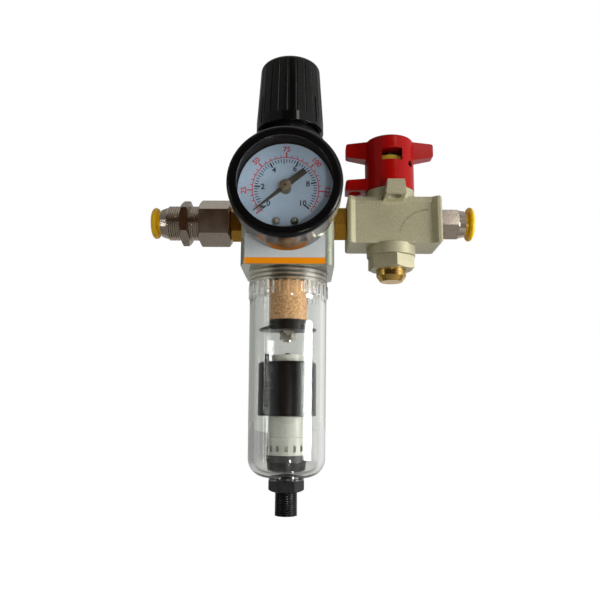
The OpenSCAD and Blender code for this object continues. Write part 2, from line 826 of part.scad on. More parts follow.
module bonnet() {
    neck_step = 0.4;
    color("#26282a") difference() {
        union() {
            translate([0, 0, flange_low]) rounded_plate(flange_w, flange_w, body_corner_r, flange_t);
            translate([0, 0, flange_low]) cylinder(r = shoulder_r, h = panel_z - flange_low);
            translate([0, 0, panel_z])
                threaded_rod(panel_thread_r, panel_thread_depth, panel_pitch, panel_turns);
            translate([0, 0, thread_top])
                cylinder(r1 = panel_thread_r - panel_thread_depth, r2 = neck_r + neck_step, h = thread_chamfer);
            translate([0, 0, thread_top]) cylinder(r = neck_r, h = neck_top - thread_top);
        }
        translate([0, 0, flange_low - cut])
            cylinder(r = spring_chamber_r, h = chamber_top - flange_low + cut);
        translate([0, 0, flange_low - cut])
            cylinder(r = thrust_r + 2 * passing, h = web_low - flange_low + cut);
        translate([0, 0, web_low - cut]) cylinder(r = journal_r + running, h = neck_top);
        for (x = [-1, 1], y = [-1, 1])
            translate([x * screw_spread, y * screw_spread, flange_low - cut])
                cylinder(r = screw_r + seated, h = flange_t + 2 * cut);
        // Flats in the shoulder that clear the screw heads
        for (x = [-1, 1], y = [-1, 1])
            translate([x * screw_spread, y * screw_spread, flange_top])
                cylinder(r = screw_head_r + passing, h = screw_head_h + passing);
    }
}

module bonnet_screws() {
    shank_h = 11;
    key_depth = 1.2;
    key_share = 0.8;
    color("#b9bbbd") for (x = [-1, 1], y = [-1, 1])
        translate([x * screw_spread, y * screw_spread, 0]) difference() {
            union() {
                translate([0, 0, body_top - shank_h])
                    cylinder(r = screw_r, h = flange_top - body_top + shank_h + seated);
                translate([0, 0, flange_top + seated]) cylinder(r = screw_head_r, h = screw_head_h);
            }
            translate([0, 0, flange_top + seated + screw_head_h - key_depth])
                cylinder(r = screw_r * key_share, h = key_depth + cut, $fn = 6);
        }
}

module adjusting_knob() {
    taper = atan((knob_r - knob_top_r) / (knob_h - knob_band_h));
    flute_len = knob_h - knob_band_h - knob_edge_r;
    hollow_r = knob_r - knob_wall;
    slot_angle = 53;
    slot_z = 1.5;
    slot_floor = 0.6;
    pattern_turn = -2;
    color("#1c1e1f") difference() {
        translate([0, 0, knob_z]) rotate_extrude()
            polygon(concat(
                [[0, 0], [knob_r, 0], [knob_r, knob_band_h]],
                arc(knob_top_r - knob_edge_r, knob_h - knob_edge_r, knob_edge_r, 0, 90, 6),
                [[0, knob_h]]
            ));
        translate([0, 0, knob_z - cut]) cylinder(r = hollow_r, h = knob_hollow_h + cut);
        translate([0, 0, hollow_top - cut])
            cylinder(r = hex_r(drive_af + 4 * running), h = drive_h + 2 * cut, $fn = 6);
        // Shallow flutes that follow the taper
        for (i = [0 : knob_flutes - 1])
            rotate([0, 0, pattern_turn + i * 360 / knob_flutes])
                translate([knob_r + flute_r - flute_depth, 0, knob_z + knob_band_h])
                    rotate([0, -taper, 0]) cylinder(r = flute_r, h = flute_len);
        // Deep slots in the skirt
        for (face = [90, 270], side = [-1, 1])
            rotate([0, 0, pattern_turn + face + side * slot_angle])
                translate([hollow_r + slot_floor, -skirt_slot_w / 2, knob_z + slot_z])
                    cube([knob_wall + cut, skirt_slot_w, skirt_slot_h]);
    }
}

module adjusting_screw() {
    rod_turns = floor((thrust_low - screw_end) / screw_pitch);
    rod_h = rod_turns * screw_pitch;
    color("#b8b096") union() {
        translate([0, 0, screw_end]) threaded_rod(screw_thread_r, screw_thread_depth, screw_pitch, rod_turns);
        translate([0, 0, screw_end + rod_h - merge])
            cylinder(r = screw_thread_r - screw_thread_depth, h = thrust_low - screw_end - rod_h + 2 * merge);
        translate([0, 0, thrust_low]) cylinder(r = thrust_r, h = thrust_h);
        translate([0, 0, thrust_low]) cylinder(r = journal_r, h = drive_low - thrust_low);
        translate([0, 0, drive_low]) cylinder(r = hex_r(drive_af), h = drive_h, $fn = 6);
    }
}

module spring_seat() {
    rim_play = 0.4;
    hub_low_r = 5.3;
    color("#c9c6bb") difference() {
        union() {
            translate([0, 0, seat_plate_low]) cylinder(r = spring_chamber_r - rim_play, h = seat_plate_t);
            translate([0, 0, seat_plate_low - seat_hub_h]) cylinder(r = hub_low_r, h = seat_hub_h + merge);
        }
        translate([0, 0, seat_plate_low - seat_hub_h - cut])
            cylinder(r = screw_thread_r + running, h = seat_plate_t + seat_hub_h + 2 * cut);
    }
}

module regulating_spring() {
    color("#9da0a3") translate([0, 0, plate_top + seated])
        coil_spring(main_spring_r, main_wire_r, main_spring_turns, seat_plate_low - plate_top - 2 * seated);
}

module diaphragm_plate() {
    color("#c9c6bb") union() {
        translate([0, 0, plate_low]) cylinder(r = plate_r, h = plate_t);
        translate([0, 0, plate_hub_low]) cylinder(r = plate_hub_r, h = plate_low - plate_hub_low + merge);
    }
}

module diaphragm() {
    hub_play = 0.4;
    color("#2b2b2b") difference() {
        translate([0, 0, body_top]) rounded_plate(flange_w, flange_w, body_corner_r, diaphragm_t);
        translate([0, 0, body_top - cut]) cylinder(r = plate_hub_r + hub_play, h = diaphragm_t + 2 * cut);
        for (x = [-1, 1], y = [-1, 1])
            translate([x * screw_spread, y * screw_spread, body_top - cut])
                cylinder(r = screw_r + seated, h = diaphragm_t + 2 * cut);
    }
}

module valve_stem() {
    color("#c08f35") union() {
        translate([0, 0, poppet_low]) cylinder(r = stem_r, h = stem_top - poppet_low);
        translate([0, 0, poppet_low]) cylinder(r = poppet_r, h = poppet_t);
        translate([0, 0, tail_low]) cylinder(r = tail_r, h = poppet_low - tail_low + merge);
    }
}

module valve_spring() {
    wire = 0.4;
    coil_play = 1.2;
    coils = 4;
    color("#b9bbbd") translate([0, 0, guide_neck_top + seated])
        coil_spring(tail_r + coil_play, wire, coils, poppet_low - guide_neck_top - 2 * seated);
}

module valve_guide() {
    neck_wall = 2;
    hole_count = 6;
    hole_r = 1;
    hole_gap = 3.4;
    hole_dist = tail_r + hole_gap;
    color("#c08f35") difference() {
        union() {
            translate([0, 0, socket_top]) cylinder(r = valve_chamber_r - seated, h = guide_disc_t);
            translate([0, 0, socket_top]) cylinder(r = tail_r + neck_wall, h = guide_neck_top - socket_top);
        }
        translate([0, 0, stud_top]) cylinder(r = tail_r + running, h = guide_neck_top - stud_top + cut);
        translate([0, 0, socket_top - cut])
            cylinder(r = stud_r + seated, h = stud_top - socket_top + cut + seated);
        for (i = [0 : hole_count - 1])
            rotate([0, 0, i * 360 / hole_count]) translate([hole_dist, 0, socket_top - cut])
                cylinder(r = hole_r, h = guide_disc_t + 2 * cut);
    }
}

// Filter and bowl

module element_deflector() {
    bore = element_r - element_wall;
    vane_count = 12;
    vane_gap = 1.4;
    vane_inset = 0.4;
    color("#232526") difference() {
        union() {
            translate([0, 0, element_top]) cylinder(r = element_r, h = deflector_h);
            translate([0, 0, deflector_top - deflector_plate_t])
                cylinder(r = deflector_r, h = deflector_plate_t);
        }
        translate([0, 0, element_top - cut]) cylinder(r = bore, h = deflector_h + 2 * cut);
        // Gaps between the swirl vanes
        for (i = [0 : vane_count - 1])
            rotate([0, 0, i * 360 / vane_count])
                translate([element_r + vane_inset, -vane_gap / 2, deflector_top - deflector_plate_t - cut])
                    cube([deflector_r, vane_gap, deflector_plate_t + 2 * cut]);
    }
}

module filter_element() {
    color("#c89b69") translate([0, 0, element_low])
        ring(element_r, element_r - element_wall, element_h - seated);
}

module element_retainer() {
    baffle_edge = 0.5;
    baffle_half = 6.5;
    color("#1f2122") difference() {
        union() {
            translate([0, 0, retainer_low]) cylinder(r = element_r, h = retainer_h - seated);
            // Two wings of a conical skirt
            translate([0, 0, retainer_low]) intersection() {
                rotate_extrude()
                    polygon([[0, 0], [baffle_r, 0], [baffle_r, baffle_edge], [element_r, baffle_t], [0, baffle_t]]);
                translate([-baffle_r, -baffle_half, 0]) cube([2 * baffle_r, 2 * baffle_half, baffle_t]);
            }
        }
        translate([0, 0, retainer_low - cut]) cylinder(r = stud_r + seated, h = retainer_h + 2 * cut);
    }
}

module element_stud() {
    nut_cut = 0.6;
    color("#b3aea2") union() {
        translate([0, 0, stud_low]) cylinder(r = stud_r, h = stud_top - stud_low);
        for (i = [1, 2])
            translate([0, 0, stud_nut_top - i * stud_nut_h])
                hex_bar(stud_nut_af, stud_nut_h, nut_cut, nut_cut);
    }
}

module bowl_seal() {
    seal_inset = 1.2;
    seal_play = 0.02;
    color("#202020") translate([0, 0, socket_top - seal_r])
        o_ring(bowl_thread_r - seal_inset - seal_r, seal_r - seal_play);
}

module bowl() {
    hole = drain_bore_r;
    band_step = 0.55;
    band_r = bowl_top_r + band_step;
    band_edge = 0.4;
    rib_turn = 3.6;
    lead_in = 0.6;
    rib_inset = 0.6;
    rib_len = rib_band_h - 0.8;
    outside = concat(
        [[hole, boss_low], [bowl_boss_r, boss_low], [bowl_boss_r, bowl_foot]],
        arc(bowl_low_r - bowl_foot_r, bowl_foot + bowl_foot_r, bowl_foot_r, -90, 0, 6),
        [[bowl_top_r, rib_low], [band_r, rib_low + band_edge], [band_r, rib_top]],
        [for (p = thread_outline(bowl_thread_r, bowl_thread_depth, bowl_pitch, bowl_turns)) [p[0], p[1] + rib_top]],
        [
            [bowl_thread_r - bowl_thread_depth, body_low],
            [bowl_thread_r, body_low + lead_in],
            [bowl_thread_r, bowl_top]
        ]
    );
    inside = concat(
        [[bowl_in_top_r, bowl_top], [bowl_in_top_r, rib_low]],
        arc(bowl_in_low_r - foot_in_r, bowl_floor + foot_in_r, foot_in_r, 0, -90, 6),
        [[hole, bowl_floor]]
    );
    color("#d8e2e6", 0.5) union() {
        rotate_extrude() polygon(concat(outside, inside));
        for (i = [0 : rib_count - 1])
            rotate([0, 0, rib_turn + (i + 0.5) * 360 / rib_count])
                translate([band_r, 0, rib_low + rib_inset]) cylinder(r = rib_r, h = rib_len);
    }
}

// Automatic drain

module drain_float() {
    edge = 0.8;
    notch_w = 3.2;
    notch_d = 2;
    bore_r = guide_top_r + passing;
    peg_r = 1;
    peg_h = 3.6;
    peg_turn = 205;
    color("#17191a") difference() {
        translate([0, 0, float_low]) union() {
            rotate_extrude()
                polygon([
                    [bore_r, 0], [float_r, 0], [float_r, float_h - edge],
                    [float_r - edge, float_h], [bore_r, float_h]
                ]);
            // Peg that stands up from the float's left
            rotate([0, 0, peg_turn]) translate([(bore_r + float_r - edge) / 2, 0, float_h - merge])
                cylinder(r = peg_r, h = peg_h + merge);
        }
        // Notch at the float's back that lets water past
        translate([-notch_w / 2, float_r - notch_d, float_low - cut])
            cube([notch_w, notch_d + cut, float_h + 2 * cut]);
    }
}

module drain_guide_tube() {
    wall = 1.5;
    vent_r = 1.2;
    color("#e6e6e2") difference() {
        union() {
            translate([0, 0, guide_low]) cylinder(r = guide_r, h = housing_top - guide_low + 2 * seated);
            translate([0, 0, housing_top + seated])
                cylinder(r = guide_top_r, h = guide_top - housing_top - seated);
        }
        translate([0, 0, guide_low - cut])
            cylinder(r = guide_r - wall, h = guide_top - guide_cap_t - guide_low + cut);
        translate([0, 0, guide_low]) cylinder(r = vent_r, h = guide_top - guide_low + cut);
    }
}

module drain_housing() {
    slot_count = 16;
    slot_w = 1.4;
    slot_h = 2.4;
    slot_z = 1.6;
    slot_d = 1.2;
    skirt_share = 0.46;
    step = 0.6;
    color("#ecece8") difference() {
        translate([0, 0, housing_low]) union() {
            cylinder(r = housing_r, h = housing_h * skirt_share);
            cylinder(r = housing_r - step, h = housing_h - seated);
        }
        translate([0, 0, housing_low - cut]) cylinder(r = guide_r + seated, h = housing_h + 2 * cut);
        for (i = [0 : slot_count - 1])
            rotate([0, 0, i * 360 / slot_count])
                translate([housing_r - slot_d, -slot_w / 2, housing_low + slot_z])
                    cube([slot_d + cut, slot_w, slot_h]);
    }
}

module drain_base_seal() {
    color("#1b1b1b") translate([0, 0, base_seal_low]) ring(housing_r, guide_r, base_seal_t);
}

module drain_spigot() {
    root_r = drain_thread_r - drain_thread_depth;
    shank_low = drain_nut_low + 0.2;
    color("#1a1c1d") difference() {
        union() {
            translate([0, 0, drain_end])
                threaded_rod(drain_thread_r, drain_thread_depth, drain_pitch, drain_turns);
            translate([0, 0, drain_nut_low - merge]) cylinder(r = root_r, h = 2 * merge);
            translate([0, 0, shank_low]) cylinder(r = drain_shank_r, h = spigot_flange_top - shank_low);
            translate([0, 0, bowl_floor + seated]) cylinder(r = spigot_flange_r, h = spigot_flange_t);
        }
        translate([0, 0, drain_end - cut])
            cylinder(r = drain_hole_r, h = spigot_flange_top - drain_end + 2 * cut);
    }
}

module drain_nut() {
    low_cut = 1.2;
    high_cut = 0.4;
    color("#1a1c1d") translate([0, 0, drain_nut_low]) difference() {
        hex_bar(drain_nut_af, drain_nut_h, low_cut, high_cut);
        translate([0, 0, -cut]) cylinder(r = drain_bore_r, h = drain_nut_h + 2 * cut);
    }
}

// Gauge

module gauge_socket() {
    stud_len = 9;
    stud_end = body_front - stud_len;
    hex_cut = 0.6;
    bore_r = 1.5;
    block_w = 9;
    block_low = bourdon_r + 2;
    block_high = 5;
    color("#b58a3a") facing_front() difference() {
        union() {
            translate([0, 0, stud_end]) cylinder(r = gauge_thread_r, h = stud_len + merge);
            translate([0, 0, body_front + seated])
                hex_bar(socket_af, gauge_gap - 2 * seated, hex_cut, hex_cut);
            translate([0, 0, case_back - merge]) cylinder(r = socket_neck_r, h = case_wall + 2 * merge);
            translate([-block_w / 2, -block_low, case_back + case_wall + seated])
                cube([block_w, block_low + block_high, socket_block_h - case_wall - 2 * seated]);
        }
        translate([0, 0, stud_end - cut]) cylinder(r = bore_r, h = case_back - stud_end + socket_block_h / 2);
    }
}

module gauge_case() {
    edge = 2;
    color("#a8a39c") facing_front() difference() {
        translate([0, 0, case_back]) rotate_extrude()
            polygon(concat(
                [[0, 0]],
                arc(case_r - edge, edge, edge, -90, 0, 5),
                [[case_r, case_depth], [0, case_depth]]
            ));
        translate([0, 0, case_back + case_wall]) cylinder(r = case_r - case_wall, h = case_depth);
        translate([0, 0, case_back - cut]) cylinder(r = socket_neck_r + seated, h = case_wall + 2 * cut);
    }
}

module gauge_bezel() {
    lens_pocket = lens_r + seated;
    case_pocket = case_r + seated;
    edge = 1.6;
    color("#141617") facing_front() translate([0, 0, bezel_back]) rotate_extrude()
        polygon(concat(
            [[case_pocket, 0], [bezel_r, 0]],
            arc(bezel_r - edge, bezel_depth - edge, edge, 0, 90, 5),
            [
                [bezel_opening_r, bezel_depth],
                [bezel_opening_r, bezel_depth - bezel_lip],
                [lens_pocket, bezel_depth - bezel_lip],
                [lens_pocket, bezel_overlap + seated],
                [case_pocket, bezel_overlap + seated]
            ]
        ));
}

module gauge_lens() {
    color("#dfe8ea", 0.4) facing_front() translate([0, 0, lens_back]) cylinder(r = lens_r, h = lens_t);
}

module gauge_dial() {
    centre_hole_r = 1.5;
    color("#9dabb8") facing_front() translate([0, 0, dial_back]) difference() {
        cylinder(r = dial_r, h = dial_t);
        translate([0, 0, -cut]) cylinder(r = centre_hole_r, h = dial_t + 2 * cut);
        for (side = [-1, 1])
            translate([side * dial_screw_x, -dial_screw_drop, -cut])
                cylinder(r = dial_shank_r + 2 * seated, h = dial_t + 2 * cut);
        rotate([0, 0, pointer_rest + stop_pin_lead]) translate([0, stop_pin_dist, -cut])
            cylinder(r = stop_pin_r + seated, h = dial_t + 2 * cut);
    }
}

module gauge_dial_screws() {
    color("#c9c6bb") facing_front() for (side = [-1, 1])
        translate([side * dial_screw_x, -dial_screw_drop, 0]) union() {
            translate([0, 0, front_plate_front + seated])
                cylinder(r = dial_shank_r, h = dial_front - front_plate_front);
            translate([0, 0, dial_front + seated]) rotate_extrude()
                polygon(concat([[0, 0]], arc(0, 0, dial_screw_r, 0, 90, 6)));
        }
}

module gauge_stop_pin() {
    color("#c9c6bb") facing_front() rotate([0, 0, pointer_rest + stop_pin_lead])
        translate([0, stop_pin_dist, dial_back])
            cylinder(r = stop_pin_r, h = pointer_back + pointer_t - dial_back);
}

module gauge_pointer() {
    root_half = 0.9;
    tip_half = 0.15;
    hub_bore_h = pointer_t + 0.2;
    color("#171717") facing_front() rotate([0, 0, pointer_rest]) translate([0, 0, pointer_back]) difference() {
        union() {
            linear_extrude(pointer_t)
                polygon([
                    [-pointer_tail_w / 2, -pointer_tail], [pointer_tail_w / 2, -pointer_tail],
                    [pointer_tail_w / 2, -hub_r], [root_half, 0], [tip_half, pointer_len], [-tip_half, pointer_len],
                    [-root_half, 0], [-pointer_tail_w / 2, -hub_r]
                ]);
            translate([0, 0, pointer_play - pointer_lift])
                cylinder(r = hub_r, h = pointer_lift - pointer_play + hub_t);
        }
        translate([0, 0, pointer_play - pointer_lift - cut])
            cylinder(r = arbor_r + seated, h = pointer_lift - pointer_play + hub_bore_h + cut);
    }
}

// Teeth that stand on a wheel of the given pitch radius
module teeth(r, count, first, last) {
    for (i = [first : last])
        rotate([0, 0, i * 360 / count])
            translate([-tooth_w / 2, r - tooth_root - seated])
                square([tooth_w, tooth_root + tooth_top + seated]);
}

module gauge_pinion() {
    color("#c08f35") facing_front() union() {
        translate([0, 0, rear_plate_back + plate_t_gauge / 2])
            cylinder(r = arbor_r, h = pointer_back + pointer_t - rear_plate_back - plate_t_gauge / 2);
        // A gap between two teeth faces the sector when the pointer is half way
        translate([0, 0, gear_back]) rotate([0, 0, 180 + pointer_sweep / 2 + 180 / pinion_teeth])
            linear_extrude(gear_t) {
                circle(pinion_r - tooth_root);
                teeth(pinion_r, pinion_teeth, 0, pinion_teeth - 1);
            }
    }
}

module gauge_sector() {
    span = 4;
    half_angle = (span + 0.6) * 360 / sector_teeth;
    hub_disc_r = 1.8;
    arm_w = 1.6;
    arm_h = 5;
    color("#c08f35") facing_front() translate([0, -gear_distance, 0]) union() {
        translate([0, 0, rear_plate_back + plate_t_gauge / 2])
            cylinder(r = arbor_r, h = front_plate_front - rear_plate_back - plate_t_gauge);
        translate([0, 0, gear_back]) rotate([0, 0, -sector_sweep / 2]) linear_extrude(gear_t) {
            circle(hub_disc_r);
            teeth(sector_r, sector_teeth, -span, span);
            intersection() {
                circle(sector_r - tooth_root);
                polygon([[0, 0], [-sector_r * tan(half_angle), sector_r], [sector_r * tan(half_angle), sector_r]]);
            }
            translate([-arm_w / 2, -arm_h]) square([arm_w, arm_h]);
        }
    }
}

module gauge_movement_plates() {
    plate_half = 6.5;
    plate_rise = 4;
    plate_drop = dial_screw_drop + 2.2;
    pillar_r = 1.1;
    pillar_inset = 1.4;
    color("#b58a3a") facing_front() difference() {
        union() {
            for (z = [rear_plate_back, front_plate_back])
                translate([-plate_half, -plate_drop, z])
                    cube([2 * plate_half, plate_drop + plate_rise, plate_t_gauge]);
            for (x = [-1, 1], y = [plate_rise - pillar_inset, -plate_drop + pillar_inset])
                translate([x * (plate_half - pillar_inset), y, rear_plate_back])
                    cylinder(r = pillar_r, h = front_plate_back - rear_plate_back + merge);
            for (x = [-1, 1])
                translate([x * dial_screw_x, -dial_screw_drop, front_plate_back])
                    cylinder(r = dial_post_r, h = dial_back - seated - front_plate_back);
        }
        for (y = [0, -gear_distance])
            translate([0, y, rear_plate_back - cut])
                cylinder(r = arbor_r + running, h = front_plate_front - rear_plate_back + 2 * cut);
        for (x = [-1, 1])
            translate([x * dial_screw_x, -dial_screw_drop, front_plate_front])
                cylinder(r = dial_shank_r + seated, h = dial_post_h + cut);
    }
}

module gauge_bourdon_tube() {
    tube_w = 1.6;
    tube_d = 4.4;
    lift = 1.6;
    start = 19;
    sweep = 250;
    color("#b58a3a") facing_front() translate([0, 0, case_back + case_wall + lift])
        rotate([0, 0, -90 + start]) rotate_extrude(angle = sweep)
            translate([bourdon_r - tube_w / 2, 0]) square([tube_w, tube_d]);
}

// Inlet side

// Nipple from its hex face towards both ends
module nipple(hex_h) {
    hex_cut = 1.5;
    color("#b88a2c") difference() {
        union() {
            translate([0, 0, -nipple_end_h]) cylinder(r = port_thread_r, h = nipple_end_h * 2 + hex_h);
            hex_bar(nipple_af, hex_h, hex_cut, hex_cut);
        }
        translate([0, 0, -nipple_end_h - cut])
            cylinder(r = nipple_bore_r, h = nipple_end_h * 2 + hex_h + 2 * cut);
    }
}

module inlet_nipple() {
    along_inlet(nipple_face) rotate([0, 0, inlet_turn]) nipple(inlet_nipple_h);
}

// Room inside a fitting for the release collar, the collet and the tube seal, from its mouth inwards
module fitting_room(end) {
    translate([0, 0, end - cavity_h]) cylinder(r = fitting_bore_r, h = cavity_h + cut);
    translate([0, 0, end - cavity_h - tube_stop_h]) cylinder(r = tube_r, h = tube_stop_h + cut);
}

module bulkhead_connector() {
    end = bulkhead_end - bulkhead_face;
    thread_end = bulkhead_thread_end - bulkhead_face;
    root_r = bulkhead_thread_r - bulkhead_thread_depth;
    hex_cut = 1.6;
    nipple_room = nipple_end_h + 1;
    color("#8d857b") along_inlet(bulkhead_face) difference() {
        union() {
            rotate([0, 0, inlet_turn]) hex_bar(bulkhead_af, bulkhead_hex_h, hex_cut, hex_cut);
            translate([0, 0, bulkhead_hex_h - merge]) cylinder(r = root_r, h = 2 * merge);
            translate([0, 0, bulkhead_hex_h])
                threaded_rod(bulkhead_thread_r, bulkhead_thread_depth, bulkhead_pitch, bulkhead_turns);
            translate([0, 0, thread_end]) cylinder(r1 = root_r, r2 = bulkhead_nose_r, h = bulkhead_nose_h);
        }
        translate([0, 0, -cut]) cylinder(r = port_thread_r + seated, h = nipple_room + cut);
        translate([0, 0, -cut]) cylinder(r = nipple_bore_r, h = end);
        fitting_room(end);
    }
}

module bulkhead_nut() {
    nut_turn = -3;
    nut_cut = 1.2;
    color("#8d857b") along_inlet(bulkhead_hex_end + lock_nut_gap) difference() {
        rotate([0, 0, nut_turn]) hex_bar(lock_nut_af, lock_nut_t, nut_cut, nut_cut);
        translate([0, 0, -cut]) cylinder(r = bulkhead_thread_r + seated, h = lock_nut_t + 2 * cut);
    }
}

// Release collar: a flange outside and a split sleeve inside, from the flange's inner face
module release_collar(flange_r, flange_t_c) {
    edge = 0.8;
    color("#e8b400") rotate_extrude()
        polygon([
            [tube_r, -collar_gap - sleeve_h], [sleeve_r, -collar_gap - sleeve_h], [sleeve_r, 0],
            [flange_r - edge, 0], [flange_r, edge], [flange_r, flange_t_c - edge],
            [flange_r - edge, flange_t_c], [tube_r, flange_t_c]
        ]);
}

// Grip ring under the release collar's sleeve, from the fitting's end inwards
module collet_ring(end) {
    color("#c3c5c7") translate([0, 0, end - sleeve_room - collet_h]) ring(sleeve_r, tube_r, collet_h);
}

module tube_seal_ring(end) {
    color("#222222") translate([0, 0, end - cavity_h + seated]) ring(sleeve_r, tube_r, tube_seal_h);
}

module inlet_collar() {
    along_inlet(inlet_collar_face) release_collar(inlet_flange_r, inlet_flange_t);
}

module inlet_collet() {
    along_inlet(bulkhead_face) collet_ring(bulkhead_end - bulkhead_face);
}

module inlet_tube_seal() {
    along_inlet(bulkhead_face) tube_seal_ring(bulkhead_end - bulkhead_face);
}

// Outlet side

module outlet_nipple() {
    along_outlet(nipple_face) rotate([0, 0, outlet_turn]) nipple(outlet_nipple_h);
}

// Block of the lock-out valve with its edges eased, seen from above and from the front
module valve_block(lift, half) {
    edge = 0.8;
    corner = 1.2;
    translate([valve_face, 0, -valve_drop]) intersection() {
        linear_extrude(lift)
            polygon([
                [0, half], [0, -half + edge], [edge, -half], [valve_w - edge, -half],
                [valve_w, -half + edge], [valve_w, half]
            ]);
        translate([0, half, 0]) rotate([90, 0, 0]) linear_extrude(2 * half)
            polygon(concat(
                arc(corner, corner, corner, 180, 270, 4),
                arc(valve_w - corner, corner, corner, 270, 360, 4),
                arc(valve_w - corner, lift - corner, corner, 0, 90, 4),
                arc(corner, lift - corner, corner, 90, 180, 4)
            ));
    }
}

// Cutter for the recess with slanted ends between the two end flanges of the valve's front
module valve_recess(depth, low, high, half) {
    slope = 2;
    first = left_rim_w;
    last = valve_w - right_rim_w;
    translate([valve_face, -half, low]) linear_extrude(high - low)
        polygon([
            [first, -cut], [last, -cut], [last, 0],
            [last - slope, depth], [first + slope, depth], [first, 0]
        ]);
}

module shutoff_body() {
    lift = valve_rise + valve_drop;
    port_bore = port_thread_r + seated;
    port_room = 1;
    port_in = nipple_end_h + port_room;
    half = valve_d / 2;
    ear_low = ear_top - ear_h;
    ear_root = 6;
    ear_taper = 0.7;
    top_step = 0.4;
    color("#b3ae93") difference() {
        union() {
            difference() {
                valve_block(lift, half);
                valve_recess(front_recess, -valve_drop - cut, ear_low, half);
                valve_recess(front_recess - top_step, ear_low - cut, valve_rise + cut, half);
            }
            translate([handle_x, 0, valve_rise - merge]) cylinder(r = collar_r, h = collar_h + merge);
            translate([handle_x, 0, boss_low_z]) cylinder(r = boss_r, h = boss_h + merge);
            // Padlock ear, narrower at its top
            translate([handle_x, -ear_root, ear_low]) rotate([90, 0, 0]) linear_extrude(ear_reach - ear_root)
                polygon([
                    [-ear_w / 2, 0], [ear_w / 2, 0],
                    [ear_w / 2 - ear_taper, ear_h], [ear_taper - ear_w / 2, ear_h]
                ]);
        }
        // Spool bore and exhaust chamber
        translate([handle_x, 0, spool_bore_low - cut])
            cylinder(r = spool_bore_r, h = valve_rise - spool_bore_low + cut);
        translate([handle_x, 0, valve_rise - seated]) cylinder(r = shaft_r + running, h = collar_h + cut);
        translate([handle_x, 0, boss_low_z - cut])
            cylinder(r = exhaust_chamber_r, h = spool_bore_low - boss_low_z + cut);
        // Supply port, outlet port and their passages
        along_outlet(valve_face - cut) cylinder(r = port_bore, h = port_in + cut);
        along_outlet(valve_end - port_in) cylinder(r = port_bore, h = port_in + cut);
        translate([0, 0, spool_port_z]) along_outlet(valve_face)
            cylinder(r = spool_port_r, h = handle_offset);
        translate([0, 0, -spool_port_z]) along_outlet(handle_x)
            cylinder(r = spool_port_r, h = valve_end - handle_x);
        // Padlock hole
        translate([handle_x, -lock_hole_dist, ear_low - cut]) cylinder(r = lock_hole_r, h = ear_h + 2 * cut);
    }
}

module shutoff_handle() {
    hollow_r = handle_r - handle_wall;
    wing_drop = 0.4;
    wing_low = handle_h - wing_drop - wing_h;
    tip_share = 0.7;
    tip_low = wing_low + (wing_h - wing_tip_h) * tip_share;
    tip_top = tip_low + wing_tip_h;
    corner = 1.2;
    lug_tip_h = 5;
    root = handle_r - handle_recess;
    edge = 1.2;
    recess_r = hollow_r - 1;
    color("#b51a14") translate([handle_x, 0, handle_z]) difference() {
        union() {
            rotate_extrude()
                polygon(concat(
                    [[0, 0], [handle_r, 0]],
                    arc(handle_r - edge, handle_h - edge, edge, 0, 90, 5),
                    [[0, handle_h]]
                ));
            // Two wings, tapered in height and in thickness
            for (side = [0, 180])
                rotate([0, 0, side]) intersection() {
                    translate([0, 0, wing_low]) linear_extrude(wing_h)
                        polygon([
                            [root, -wing_t / 2], [wing_reach, -wing_tip_t / 2],
                            [wing_reach, wing_tip_t / 2], [root, wing_t / 2]
                        ]);
                    translate([0, wing_t, 0]) rotate([90, 0, 0]) linear_extrude(2 * wing_t)
                        polygon(concat(
                            [[root, wing_low]],
                            arc(wing_reach - corner, tip_low + corner, corner, -90, 0, 4),
                            arc(wing_reach - corner, tip_top - corner, corner, 0, 90, 4),
                            [[root, wing_low + wing_h]]
                        ));
                }
            // Locking lug over the padlock ear, with round corners
            intersection() {
                linear_extrude(lug_h)
                    polygon(concat(
                        [[-root, -lug_w / 2], [-root, lug_w / 2]],
                        arc(corner - lug_reach, lug_w / 2 - corner, corner, 90, 180, 4),
                        arc(corner - lug_reach, corner - lug_w / 2, corner, 180, 270, 4)
                    ));
                translate([0, lug_w, 0]) rotate([90, 0, 0]) linear_extrude(2 * lug_w)
                    polygon(concat(
                        [[-root, 0], [-root, lug_h]],
                        arc(corner - lug_reach, lug_tip_h - corner, corner, 90, 180, 4),
                        [[-lug_reach, 0]]
                    ));
            }
        }
        translate([0, 0, -cut]) cylinder(r = hollow_r, h = cap_low - handle_z + cut);
        translate([0, 0, handle_h - handle_recess]) cylinder(r = recess_r, h = handle_recess + cut);
        translate([0, 0, cap_low - handle_z - cut])
            cylinder(r = shaft_r + seated, h = handle_top_t + 2 * cut);
        translate([-window_w / 2, -handle_r - cut, window_z]) cube([window_w, handle_r, window_h]);
        translate([-lock_hole_dist, 0, -cut]) cylinder(r = lock_hole_r, h = lug_h + 2 * cut);
        rotate([0, 0, -detent_angle]) translate([hollow_r - cut, 0, detent_z]) rotate([0, 90, 0])
            cylinder(r = detent_r + seated, h = handle_wall + 2 * cut);
    }
}

module shutoff_indicator() {
    color("#d8a800") translate([handle_x, 0, collar_top])
        ring(indicator_r, shaft_r + passing, indicator_top - collar_top);
}

module shutoff_stem() {
    color("#c2beb2") translate([handle_x, 0, shaft_low])
        cylinder(r = shaft_r, h = handle_top - handle_recess - shaft_low);
}

module handle_detent_screw() {
    inner_r = handle_r - handle_wall + 0.1;
    screw_len = handle_wall - 0.7;
    key_depth = 1;
    key_share = 0.6;
    color("#3a3a3a") translate([handle_x, 0, handle_z]) rotate([0, 0, -detent_angle])
        translate([inner_r, 0, detent_z]) rotate([0, 90, 0]) difference() {
            cylinder(r = detent_r, h = screw_len);
            translate([0, 0, screw_len - key_depth])
                cylinder(r = detent_r * key_share, h = key_depth + cut, $fn = 6);
        }
}

